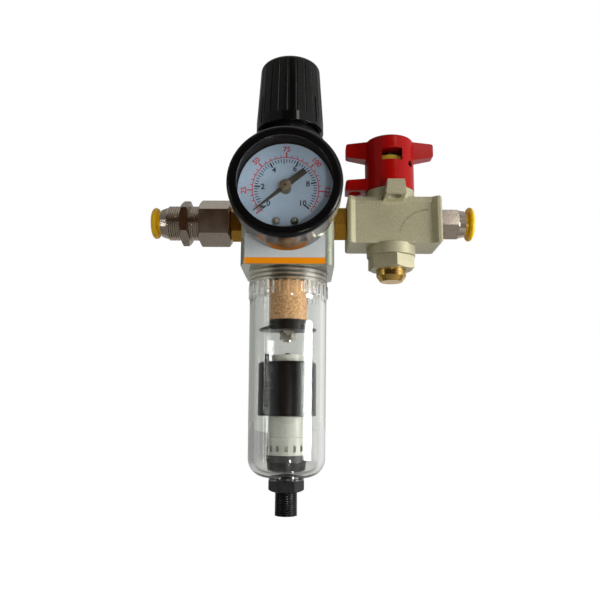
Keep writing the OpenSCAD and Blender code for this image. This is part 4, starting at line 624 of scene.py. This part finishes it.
def two_tone_steel(name, dark, dark_rough, bare_radius, bare_depth, join):
    tree, shader = start_finish(name, shine=0.3)
    depth = axes_of(tree, object_place(tree))["Y"]
    deep = math_node(tree, "GREATER_THAN", depth, bare_depth)
    outside = place_group(tree, from_axis, {"Radius": bare_radius})["Mask"]
    bare = math_node(tree, join, deep, outside)
    tones = flake_tint(tree, STEEL, STEEL_DULL, scale=2600.0, amount=0.3, stain=0.08)
    colour = mix_colour(tree, bare, dark, tones["Colour"])
    skin = grain_skin(tree, scale=1000.0, patch=60.0, low=0.1, high=0.2)
    covered = range_node(tree, bare, start=0.0, end=1.0, low=dark_rough, high=0.0)
    rough = math_node(tree, "ADD", covered, skin["Roughness"])
    past_wall = place_group(tree, from_axis, {"Radius": INNER_WALL})["Mask"]
    inside = math_node(tree, "LESS_THAN", past_wall, 0.5)
    behind_lip = math_node(tree, "GREATER_THAN", depth, bezel_low.y + LIP)
    on_wall = math_node(tree, "MULTIPLY", inside, behind_lip)
    wall_rough = math_node(tree, "MULTIPLY_ADD", on_wall, INNER_MATT, rough)
    normal = bumped(tree, skin["Height"], strength=0.1, microns=4.0, edge=0.3 * MM)
    dress(tree, shader, colour, wall_rough, normal)
    set_inputs(tree, shader, {"Metallic": bare})


bezel_bare = bezel_low.y + ENAMEL_DEPTH
case_bare = case_high.y - RIM
two_tone_steel(
    "bezel_enamel",
    dark=srgb(8, 9, 10),
    dark_rough=0.04,
    bare_radius=bezel_high.x - RIM,
    bare_depth=bezel_bare,
    join="MINIMUM",
)
two_tone_steel(
    "case_chrome",
    dark=srgb(8, 8, 8),
    dark_rough=0.6,
    bare_radius=case_high.x - RIM,
    bare_depth=case_bare,
    join="MAXIMUM",
)
print("bezel enamel up to", round(bezel_bare, 5), "case radius", round(case_high.x, 5))

# %% [markdown]
# The label is a pale film with an orange band along its lower edge. The band is a step on the
# height of the point, so it needs no picture.

# %% Label film
LABEL_BAND = 2.7 * MM
band_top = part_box("front_label")[0].z + LABEL_BAND
tree, shader = start_finish("label_film", shine=0.25)
height = axes_of(tree, object_place(tree))["Z"]
in_band = math_node(tree, "LESS_THAN", height, band_top)
film = flake_tint(tree, srgb(196, 201, 204), srgb(222, 226, 228), scale=1600.0, amount=0.3, stain=0.05)
skin = grain_skin(tree, scale=1200.0, patch=60.0, low=0.3, high=0.45)
printed = mix_colour(tree, in_band, film["Colour"], srgb(240, 142, 0))
normal = bumped(tree, skin["Height"], strength=0.1, microns=10.0)
dress(tree, shader, printed, skin["Roughness"], normal)
print("label band up to", round(band_top, 5))

# %% [markdown]
# The filter element is pressed from small grains, so its colour and its surface break up
# into spots of about 0.4 mm, like cork. Voronoi cells have that look: each cell is one grain with
# its own tone, and the distance inside the cell rounds it.

# %% Sintered grains
GRAINS_PER_METRE = 2500.0
tree, shader = start_finish("sintered", roughness=0.85)
inputs = {"Vector": object_place(tree), "Scale": GRAINS_PER_METRE}
cells = add_node(tree, "ShaderNodeTexVoronoi", inputs)
cell_tone = add_node(tree, "ShaderNodeSeparateColor", {"Color": cells["Color"]})["Red"]
tones = tree.nodes.new("ShaderNodeValToRGB")
tones.color_ramp.elements[0].color = srgb(112, 76, 42)
tones.color_ramp.elements[1].color = srgb(188, 150, 108)
middle = tones.color_ramp.elements.new(0.5)
middle.color = srgb(160, 121, 80)
set_inputs(tree, tones, {"Fac": cell_tone})
normal = bumped(tree, cells["Distance"], strength=0.4, microns=60.0)
set_inputs(tree, shader, {"Base Color": tones.outputs["Color"], "Normal": normal})
print("grains per metre:", GRAINS_PER_METRE)

# %% [markdown]
# Clear parts use the shader's transmission. A shadow ray is let straight through, so that what
# lies behind the bowl and the lens is lit as it is in the real object. Bent shadows would be truer,
# but they take far longer and leave bright specks.

# %% Clear parts
BOWL_TINT = (0.95, 0.96, 0.945, 1.0)
LENS_TINT = (0.95, 0.97, 0.98, 1.0)


def clear_finish(name, tint, ior, high):
    tree, shader = start_finish(name)
    shader.inputs["Base Color"].default_value = tint
    shader.inputs["Transmission Weight"].default_value = 1.0
    shader.inputs["IOR"].default_value = ior
    skin = grain_skin(tree, scale=700.0, patch=40.0, low=0.0, high=high)
    normal = bumped(tree, skin["Height"], strength=0.01, microns=10.0)
    set_inputs(tree, shader, {"Roughness": skin["Roughness"], "Normal": normal})
    shadow = add_node(tree, "ShaderNodeLightPath", {})["Is Shadow Ray"]
    through = add_node(tree, "ShaderNodeBsdfTransparent", {"Color": tint})["BSDF"]
    chosen = mix_shader(tree, shadow, shader.outputs["BSDF"], through)
    set_inputs(tree, tree.nodes["Material Output"], {"Surface": chosen})
    return tree, shader, skin


bowl_tree, bowl_shader, bowl_skin = clear_finish("bowl_clear", BOWL_TINT, ior=1.5, high=0.015)
clear_finish("lens_clear", LENS_TINT, ior=1.46, high=0.02)
print("bowl tint:", BOWL_TINT, "lens tint:", LENS_TINT)

# %% [markdown]
# The bowl's thread turns are moulded with a matt surface, which blurs what lies behind them.
# A second material would leave a hard line in the clear wall, so above the ribs the same shader gets
# rough and takes a warmer tint.

# %% Matt neck of the bowl
NECK_LOW = PORT_Z - 30.3 * MM
NECK_HIGH = PORT_Z - 29.3 * MM
NECK_ROUGH = 0.32
NECK_TINT = (0.9, 0.86, 0.76, 1.0)
height = axes_of(bowl_tree, object_place(bowl_tree))["Z"]
neck = range_node(bowl_tree, height, NECK_LOW, NECK_HIGH)
rough = math_node(bowl_tree, "MULTIPLY_ADD", neck, NECK_ROUGH, bowl_skin["Roughness"])
tint = mix_colour(bowl_tree, neck, BOWL_TINT, NECK_TINT)
set_inputs(bowl_tree, bowl_shader, {"Base Color": tint, "Roughness": rough})
print("matt neck above", round(NECK_LOW, 5))

# %% [markdown]
# The dial, the pointer and the two inks are flat paints. The maker of the plastics serves for them
# too, with a shallow grain.

# %% Dial paint with painted shade, and pointer paint
PAINT_GRAINS = 1500.0
for name, colour, low, high, microns in (
    # The real dial is white; its darker blue-grey here is painted shade.
    ("shaded_dial_paint", srgb(158, 174, 191), 0.45, 0.6, 5.0),
    ("pointer_paint", srgb(52, 48, 37), 0.35, 0.5, 5.0),
    ("red_ink", srgb(188, 40, 46), 0.5, 0.65, 3.0),
    ("black_ink", srgb(24, 27, 32), 0.5, 0.65, 3.0),
):
    moulded(name, colour, low, high, PAINT_GRAINS, microns)
    print("paint:", name)

# %% [markdown]
# Every CAD node now gets its finish. The node's mesh isn't touched: only its material slot.
# The list goes by finish, so that it shows at a glance which pieces share one.

# %% Finishes of the CAD nodes
nodes_with = {
    "body_lacquer": ["regulator_body"],
    "label_film": ["front_label"],
    "knob_gloss": ["adjusting_knob"],
    "black_moulding": ["bonnet", "drain_spigot", "drain_nut"],
    "inner_black": ["element_deflector", "element_retainer"],
    "white_moulding": ["drain_guide_tube", "drain_housing"],
    "float_skin": ["drain_float"],
    "yellow_moulding": ["inlet_collar", "outlet_collar"],
    "red_moulding": ["shutoff_handle"],
    # The indicator's darker yellow is painted shade inside the handle's window.
    "shaded_indicator_yellow": ["shutoff_indicator"],
    "valve_paint": ["shutoff_body", "exhaust_plug"],
    "sintered": ["filter_element"],
    "bowl_clear": ["bowl"],
    "lens_clear": ["gauge_lens"],
    "case_chrome": ["gauge_case"],
    "bezel_enamel": ["gauge_bezel"],
    # The dial's blue-grey is painted shade over a white dial.
    "shaded_dial_paint": ["gauge_dial"],
    "pointer_paint": ["gauge_pointer"],
    "port_brass": ["inlet_nipple", "outlet_nipple"],
    "port_nickel": ["bulkhead_connector", "bulkhead_nut", "outlet_connector"],
    "upright_brass": ["valve_stem", "valve_guide", "exhaust_silencer"],
    "turned_aluminium": ["diaphragm_plate", "shutoff_spool"],
    # The shutoff stem is aluminium; its dark finish here is painted shade inside the handle's window.
    "black_steel_and_painted_shade": ["shutoff_stem", "handle_detent_screw"],
    "gauge_brass": [
        "gauge_socket",
        "gauge_pinion",
        "gauge_sector",
        "gauge_movement_plates",
        "gauge_bourdon_tube",
    ],
    "rubber_black": [
        "diaphragm",
        "bowl_seal",
        "drain_base_seal",
        "inlet_tube_seal",
        "outlet_tube_seal",
        "shutoff_seals",
    ],
    "plated_steel": [
        "rear_port_plug",
        "bonnet_screws",
        "adjusting_screw",
        "spring_seat",
        "regulating_spring",
        "valve_spring",
        "element_stud",
        "gauge_dial_screws",
        "gauge_stop_pin",
        "inlet_collet",
        "outlet_collet",
        "shutoff_spring",
    ],
}
bare_nodes = set(nodes)
for finish, names in nodes_with.items():
    for name in names:
        bare_nodes.remove(name)
        node = nodes[name]
        if node.material_slots:
            node.material_slots[0].material = finishes[finish]
        else:
            node.data.materials.append(finishes[finish])
print("finished nodes:", len(nodes) - len(bare_nodes), "without a finish:", sorted(bare_nodes))

# %% [markdown]
# The dial is printed with two scales: a black one inside and a red one outside. Each stroke is a
# thin raised piece of ink. A picture could be laid on the dial instead, but strokes stay sharp from
# close up. Every new piece is closed by one helper, which shades it smooth up to a crease angle and
# names the body that carries it.

# %% Piece helper


def finished_piece(name, bm, finish, body, smooth=True, crease=40.0):
    mesh = bpy.data.meshes.new(name)
    for face in bm.faces:
        face.smooth = smooth
    bm.to_mesh(mesh)
    bm.free()
    if smooth:
        mesh.set_sharp_from_angle(angle=math.radians(crease))
    mesh.materials.append(finishes[finish])
    piece = bpy.data.objects.new(name, mesh)
    scene.collection.objects.link(piece)
    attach(piece, body)
    print(name, "faces:", len(mesh.polygons))
    return piece


# %% [markdown]
# Angles count from the top, to the right. The scale is even over most of its length and crowded near
# zero, as on such gauges, so an angle is the larger of two straight lines.

# %% Dial strokes
ZERO = -132.0
CROWD = 12.0
BAR_STEP = 27.0
MIDDLE_BAR = 5.17
MIDDLE_ANGLE = 1.0
INK = 0.06 * MM
ARC_STEPS = 96
dial_face_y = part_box("gauge_dial")[0].y


def scale_angle(bar):
    return max(MIDDLE_ANGLE + (bar - MIDDLE_BAR) * BAR_STEP, ZERO + CROWD * bar)


def stroke(bm, angle, inner, outer, width):
    middle = Matrix.Translation((0.0, dial_face_y - INK / 2, PORT_Z))
    turn = Matrix.Rotation(math.radians(angle), 4, "Y")
    outward = Matrix.Translation((0.0, 0.0, (inner + outer) / 2))
    size = Matrix.Diagonal((width, INK, outer - inner, 1.0))
    bmesh.ops.create_cube(bm, size=1.0, matrix=middle @ turn @ outward @ size)


def arc_line(bm, radius, width, first, last):
    inner = bm.verts.new((0.0, 0.0, radius - width / 2))
    outer = bm.verts.new((0.0, 0.0, radius + width / 2))
    edge = bm.edges.new((inner, outer))
    bmesh.ops.rotate(bm, verts=[inner, outer], matrix=Matrix.Rotation(math.radians(first), 3, "Y"))
    bmesh.ops.spin(
        bm,
        geom=[inner, outer, edge],
        axis=(0, 1, 0),
        angle=math.radians(last - first),
        steps=ARC_STEPS,
    )
    bmesh.ops.translate(bm, verts=bm.verts, vec=(0.0, dial_face_y - INK, PORT_Z))


print("zero at", scale_angle(0.0), "degrees, ten bar at", round(scale_angle(10.0), 1))

# %% [markdown]
# The numbers come from Blender's own font, made a little heavier and turned into flat faces. The black
# ones stand upright, and the red ones lean with the scale.

# %% Dial numbers
HEAVIER = 0.024


def number(bm, words, angle, radius, height, lean):
    curve = bpy.data.curves.new("number_" + words, "FONT")
    curve.body = words
    curve.size = height
    curve.offset = HEAVIER * height
    curve.align_x = "CENTER"
    curve.align_y = "CENTER"
    curve.resolution_u = 3
    letters = bpy.data.objects.new("number_" + words, curve)
    flat = bpy.data.meshes.new_from_object(letters)
    turn = math.radians(angle)
    middle = Vector((math.sin(turn) * radius, dial_face_y - INK, PORT_Z + math.cos(turn) * radius))
    upright = Matrix.Rotation(math.radians(90.0), 4, "X")
    flat.transform(Matrix.Translation(middle) @ Matrix.Rotation(turn * lean, 4, "Y") @ upright)
    bm.from_mesh(flat)
    bpy.data.objects.remove(letters)
    bpy.data.curves.remove(curve)
    bpy.data.meshes.remove(flat)


print("dial face at y", round(dial_face_y, 5))

# %% [markdown]
# The black scale counts bar, with five strokes to the bar: short ones, a longer one at every full bar,
# and a bold one at every number.

# %% Black scale
BLACK_OUTER = 12.4 * MM
LONG_INNER = 10.2 * MM
LONG_WIDTH = 0.6 * MM
MIDDLE_INNER = 10.5 * MM
MIDDLE_WIDTH = 0.36 * MM
SHORT_INNER = 11.0 * MM
SHORT_WIDTH = 0.32 * MM
BLACK_NUMBER_R = 9.0 * MM
BLACK_NUMBER_HEIGHT = 3.1 * MM
bm = bmesh.new()
for fifth in range(51):
    angle = scale_angle(fifth / 5.0)
    if fifth % 10 == 0:
        stroke(bm, angle, LONG_INNER, BLACK_OUTER, LONG_WIDTH)
    elif fifth % 5 == 0:
        stroke(bm, angle, MIDDLE_INNER, BLACK_OUTER, MIDDLE_WIDTH)
    else:
        stroke(bm, angle, SHORT_INNER, BLACK_OUTER, SHORT_WIDTH)
for bar in range(0, 11, 2):
    number(bm, str(bar), scale_angle(bar), BLACK_NUMBER_R, BLACK_NUMBER_HEIGHT, lean=0.0)
finished_piece("dial_black_scale", bm, "black_ink", "regulator", smooth=False)

# %% [markdown]
# The red scale counts pounds per square inch outside a thin arc, with a long stroke at every 25.

# %% Red scale
BAR_PER_PSI = 1.0 / 14.5
RED_LINE_R = 13.1 * MM
RED_LINE_WIDTH = 0.34 * MM
RED_INNER = 13.0 * MM
RED_LONG_OUTER = 15.3 * MM
RED_LONG_WIDTH = 0.5 * MM
RED_SHORT_OUTER = 14.2 * MM
RED_SHORT_WIDTH = 0.32 * MM
RED_NUMBER_R = 16.45 * MM
RED_NUMBER_HEIGHT = 3.0 * MM
bm = bmesh.new()
arc_line(bm, RED_LINE_R, RED_LINE_WIDTH, scale_angle(0.0), scale_angle(10.0))
for step in range(30):
    angle = scale_angle(step * 5 * BAR_PER_PSI)
    if step % 5 == 0:
        stroke(bm, angle, RED_INNER, RED_LONG_OUTER, RED_LONG_WIDTH)
    else:
        stroke(bm, angle, RED_INNER, RED_SHORT_OUTER, RED_SHORT_WIDTH)
for psi in range(25, 126, 25):
    number(bm, str(psi), scale_angle(psi * BAR_PER_PSI), RED_NUMBER_R, RED_NUMBER_HEIGHT, lean=1.0)
finished_piece("dial_red_scale", bm, "red_ink", "regulator", smooth=False)

# %% [markdown]
# The pointer sits on a bright turned hub with a small dimple. What was turned on a lathe is best
# made the same way: a profile of a few points is spun round the gauge's axis.

# %% Pointer hub
HUB_LAP = 0.05 * MM
HUB_R = 2.25 * MM
DIMPLE_AND_RIM = [(0.0, -0.15), (0.4, -0.12), (0.5, 0.12), (1.7, 0.12), (2.1, -0.02), (2.25, -0.3)]
MERGE = 1e-7


def lathe(bm, profile, matrix, steps=64, closed=False):
    verts = [bm.verts.new((radius, 0.0, along)) for radius, along in profile]
    pairs = list(zip(verts, verts[1:]))
    if closed:
        pairs.append((verts[-1], verts[0]))
    edges = [bm.edges.new(pair) for pair in pairs]
    bmesh.ops.spin(
        bm,
        geom=verts + edges,
        cent=(0, 0, 0),
        axis=(0, 0, 1),
        angle=math.tau,
        steps=steps,
        use_merge=True,
    )
    bmesh.ops.remove_doubles(bm, verts=bm.verts, dist=MERGE)
    bmesh.ops.recalc_face_normals(bm, faces=bm.faces)
    bmesh.ops.transform(bm, matrix=matrix, verts=bm.verts)


hub_front = -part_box("gauge_pointer")[0].y + HUB_LAP
hub_back = -dial_face_y + HUB_LAP
hub_profile = [(radius * MM, hub_front + rise * MM) for radius, rise in DIMPLE_AND_RIM]
hub_profile += [(HUB_R, hub_back), (0.0, hub_back)]
facing_front = Matrix.Translation((0.0, 0.0, PORT_Z)) @ Matrix.Rotation(math.radians(90.0), 4, "X")
bm = bmesh.new()
lathe(bm, hub_profile, facing_front)
finished_piece("pointer_hub", bm, "hub_bronze", "pointer")

# %% [markdown]
# The bowl is one lathe-turned wall with soft corners, because every hard step in a clear part
# draws a dark line. The profile is in millimetres from the ports' height: up the outside, over the
# grip band and the thread turns, and down the inside.

# %% Bowl profile
BOWL_HOLE = 4.614
FOOT = [(BOWL_HOLE, -116.0), (7.5, -116.0), (7.8, -115.7), (7.8, -114.9), (8.1, -114.6)]
FLOOR_INSIDE = -112.2
CORNER_R = 9.0
CORNER_OUTER = 8.0
CORNER_INNER = 5.6
WALL_OUTER = 17.0
WALL_INNER = 14.6
WALL_LOW = -106.6
WALL_TOP = -37.0
WALL_DRAFT = 0.55
WALL_HEIGHTS = (-105.6, -80.0, -55.0, -38.4)
BAND_FOOT = 17.55
BAND_R = 17.85
BAND_LOW = -36.4
BAND_TOP = -30.0
EASE_DROP = 1.4
EASE_HEIGHT = 2.0
THREAD_R = 18.0
THREAD_ROOT = 17.35
THREAD_PITCH = 2.0
NECK_INNER = 15.15
MOUTH = -14.85
BELOW_MOUTH = -14.95


def round_corner(centre_r, centre_z, radius, first, last, steps):
    turns = [math.radians(first + (last - first) * i / steps) for i in range(steps + 1)]
    return [(centre_r + radius * math.cos(t), centre_z + radius * math.sin(t)) for t in turns]


def drafted(radius, heights):
    def lean(height):
        return WALL_DRAFT * (height - WALL_LOW) / (WALL_TOP - WALL_LOW)

    return [(radius + lean(height), height) for height in heights]


outside = FOOT + round_corner(CORNER_R, WALL_LOW, CORNER_OUTER, -90.0, 0.0, 18)
outside += drafted(WALL_OUTER, WALL_HEIGHTS)
for share in (0.0, 0.15, 0.35, 0.5, 0.65, 0.85, 1.0):
    ease = share * share * (3.0 - 2.0 * share)
    outside.append((BAND_FOOT + (BAND_R - BAND_FOOT) * ease, BAND_LOW - EASE_DROP + EASE_HEIGHT * share))
outside += [(BAND_R, BAND_LOW + step) for step in (1.0, 1.5, 3.0, 4.5, 5.4, 5.9)]
outside += [(BAND_R, BAND_TOP), (THREAD_R, BAND_TOP + 0.1)]
for turn in range(3):
    low = BAND_TOP + turn * THREAD_PITCH
    outside += [(THREAD_R, low + 0.5), (THREAD_ROOT, low + 0.95)]
    outside += [(THREAD_ROOT, low + 1.45), (THREAD_R, low + 1.9)]
outside += [(THREAD_R, BELOW_MOUTH), (17.9, MOUTH)]
inside = [(15.25, MOUTH), (NECK_INNER, BELOW_MOUTH), (NECK_INNER, -36.6)]
inside += drafted(WALL_INNER, reversed(WALL_HEIGHTS))
inside += round_corner(CORNER_R, WALL_LOW, CORNER_INNER, 0.0, -90.0, 14)
inside += [(BOWL_HOLE, FLOOR_INSIDE)]
bowl_profile = [(radius * MM, height * MM) for radius, height in outside + inside]
print("bowl profile points:", len(bowl_profile))

# %% [markdown]
# The ribs of the grip band could be separate bars, but inner surfaces would show through the clear
# wall. So they are pushed out of the wall itself, and the bowl stays one closed skin.

# %% Bowl
RIBS = 30
RIB_SPACING = 360.0 / RIBS
RIB_TURN = 9.6
RIB_HALF = 2.0
RIB_HEIGHT = 0.4 * MM
RIB_REACH = 17.7 * MM
RIB_LOW = BAND_LOW + 0.5
RIB_TOP = BAND_TOP - 0.05
at_ports = Matrix.Translation((0.0, 0.0, PORT_Z))
bm = bmesh.new()
lathe(bm, bowl_profile, at_ports, steps=360, closed=True)
for vert in bm.verts:
    height = (vert.co.z - PORT_Z) / MM
    reach = math.hypot(vert.co.x, vert.co.y)
    if RIB_LOW < height < RIB_TOP and reach > RIB_REACH:
        turn = math.degrees(math.atan2(vert.co.y, vert.co.x)) - RIB_TURN
        offset = abs((turn + RIB_SPACING / 2) % RIB_SPACING - RIB_SPACING / 2)
        if offset < RIB_HALF:
            lift = RIB_HEIGHT * math.cos(offset / RIB_HALF * math.pi / 2)
            vert.co.x *= 1.0 + lift / reach
            vert.co.y *= 1.0 + lift / reach
bowl_wall = finished_piece("bowl_wall", bm, "bowl_clear", "regulator", crease=50.0)
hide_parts("bowl")

# %% [markdown]
# The release collars are moulded rings with full, rounded rims. Each is turned round the axis of
# its tube and moves with its own body when the collar is pressed. The left one has a thicker and
# smaller flange than the right one, so both share a profile with two sizes of its own.

# %% Release collars
TUBE_R = 4.05
SLEEVE = [(TUBE_R, -7.5), (4.6, -7.5), (5.0, -7.1), (5.0, -0.3), (5.3, 0.0)]
to_the_left = Matrix.Rotation(math.radians(-90.0), 4, "Y")
to_the_right = Matrix.Rotation(math.radians(90.0), 4, "Y")


def collar_profile(flange_r, flange_t):
    rim = flange_t / 2
    face = round_corner(flange_r - rim, rim, rim, -90.0, 90.0, 12)
    mouth = [(4.7, flange_t), (4.3, flange_t - 0.15), (TUBE_R, flange_t - 0.6)]
    return [(radius * MM, along * MM) for radius, along in SLEEVE + face + mouth]


for side_name, face_x, turn, flange_r, flange_t in (
    ("inlet", -60.9 * MM, to_the_left, 7.25, 2.8),
    ("outlet", 83.15 * MM, to_the_right, 7.9, 2.2),
):
    body = side_name + "_collar"
    seat = Matrix.Translation((face_x, 0.0, PORT_Z)) @ turn
    bm = bmesh.new()
    lathe(bm, collar_profile(flange_r, flange_t), seat, steps=96, closed=True)
    collar = finished_piece(side_name + "_collar_ring", bm, "yellow_moulding", body)
    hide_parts(side_name + "_collar")

# %% [markdown]
# A small black nozzle sits on top of the drain's guide tube. It is a turned ring with a stepped
# profile, lathed like the hub.

# %% Drain nozzle
NOZZLE = [(0.5, 0.0), (1.7, 0.0), (1.7, 0.3), (1.4, 0.6), (1.2, 0.9), (0.9, 1.0), (0.5, 0.9)]
tube_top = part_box("drain_guide_tube")[1].z
nozzle_profile = [(radius * MM, height * MM) for radius, height in NOZZLE]
bm = bmesh.new()
lathe(bm, nozzle_profile, Matrix.Translation((0.0, 0.0, tube_top)), closed=True)
finished_piece("drain_nozzle", bm, "inner_black", "regulator")

# %% [markdown]
# The three springs inside are wound from round wire. A curve with a bevel could draw them; here a
# circle is spun round the coil's axis and lifted a little at each step, which gives a closed mesh.

# %% Springs
WIRE_SIDES = 12
COIL_STEPS = 32


def wound_spring(node, wire, turns):
    low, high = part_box(node)
    middle_x = (low.x + high.x) / 2
    coil_r = (high.x - low.x) / 2 - wire
    height = high.z - low.z
    steps = turns * COIL_STEPS
    upright = Matrix.Rotation(math.radians(90.0), 4, "X")
    bm = bmesh.new()
    bmesh.ops.create_circle(
        bm,
        segments=WIRE_SIDES,
        radius=wire,
        matrix=Matrix.Translation((middle_x + coil_r, 0.0, low.z + wire)) @ upright,
    )
    bmesh.ops.spin(
        bm,
        geom=bm.verts[:] + bm.edges[:],
        cent=(middle_x, 0.0, 0.0),
        axis=(0, 0, 1),
        dvec=(0.0, 0.0, (height - 2 * wire) / steps),
        angle=math.tau * turns,
        steps=steps,
    )
    bmesh.ops.holes_fill(bm, edges=[edge for edge in bm.edges if edge.is_boundary], sides=0)
    bmesh.ops.recalc_face_normals(bm, faces=bm.faces)
    spring = finished_piece("wound_" + node, bm, "plated_steel", "regulator")
    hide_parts(node)
    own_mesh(spring)


wound_spring("regulating_spring", wire=1.1 * MM, turns=4)
wound_spring("valve_spring", wire=0.4 * MM, turns=4)
wound_spring("shutoff_spring", wire=0.55 * MM, turns=3)

# %% [markdown]
# The diaphragm is a rubber sheet. Its rim is clamped under the bonnet, and its middle goes up and
# down with the plate, so the sheet is split where it bends: a rim with its screw holes and a disc.
# The rim is drawn as outlines, filled between them and raised to the sheet's thickness.

# %% Diaphragm rim
SHEET_CORNER = 4.0 * MM
CORNER_SEGMENTS = 8
SCREW_SPREAD = 15.4 * MM
SCREW_HOLE = 1.55 * MM
HOLE_SEGMENTS = 32
BEND_R = 12.0 * MM
sheet_low, sheet_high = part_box("diaphragm")
sheet_t = sheet_high.z - sheet_low.z
sheet_place = Matrix.Translation((0.0, 0.0, sheet_low.z))
bm = bmesh.new()
bmesh.ops.create_grid(bm, x_segments=1, y_segments=1, size=sheet_high.x, matrix=sheet_place)
bmesh.ops.bevel(
    bm,
    geom=bm.verts[:],
    offset=SHEET_CORNER,
    offset_type="OFFSET",
    affect="VERTICES",
    segments=CORNER_SEGMENTS,
    profile=0.5,
    material=-1,
)
bmesh.ops.delete(bm, geom=bm.faces[:], context="FACES_ONLY")
holes = [(x * SCREW_SPREAD, y * SCREW_SPREAD, SCREW_HOLE) for x in (-1, 1) for y in (-1, 1)]
holes.append((0.0, 0.0, BEND_R))
for x, y, radius in holes:
    hole_place = Matrix.Translation((x, y, sheet_low.z))
    bmesh.ops.create_circle(bm, segments=HOLE_SEGMENTS, radius=radius, matrix=hole_place)
bmesh.ops.triangle_fill(bm, use_beauty=True, edges=bm.edges[:])
raised = bmesh.ops.extrude_face_region(bm, geom=bm.faces[:], use_keep_orig=True)
raised_verts = [item for item in raised["geom"] if isinstance(item, bmesh.types.BMVert)]
bmesh.ops.translate(bm, vec=(0.0, 0.0, sheet_t), verts=raised_verts)
bmesh.ops.recalc_face_normals(bm, faces=bm.faces)
diaphragm_rim = finished_piece("diaphragm_rim", bm, "rubber_black", "regulator")
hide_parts("diaphragm")

# %% Diaphragm disc
BEND_GAP = 0.1 * MM
HUB_HOLE = 2.8 * MM
disc_r = BEND_R - BEND_GAP
disc_profile = [(HUB_HOLE, 0.0), (disc_r, 0.0), (disc_r, sheet_t), (HUB_HOLE, sheet_t)]
bm = bmesh.new()
lathe(bm, disc_profile, sheet_place, closed=True)
finished_piece("diaphragm_disc", bm, "rubber_black", "diaphragm_plate")
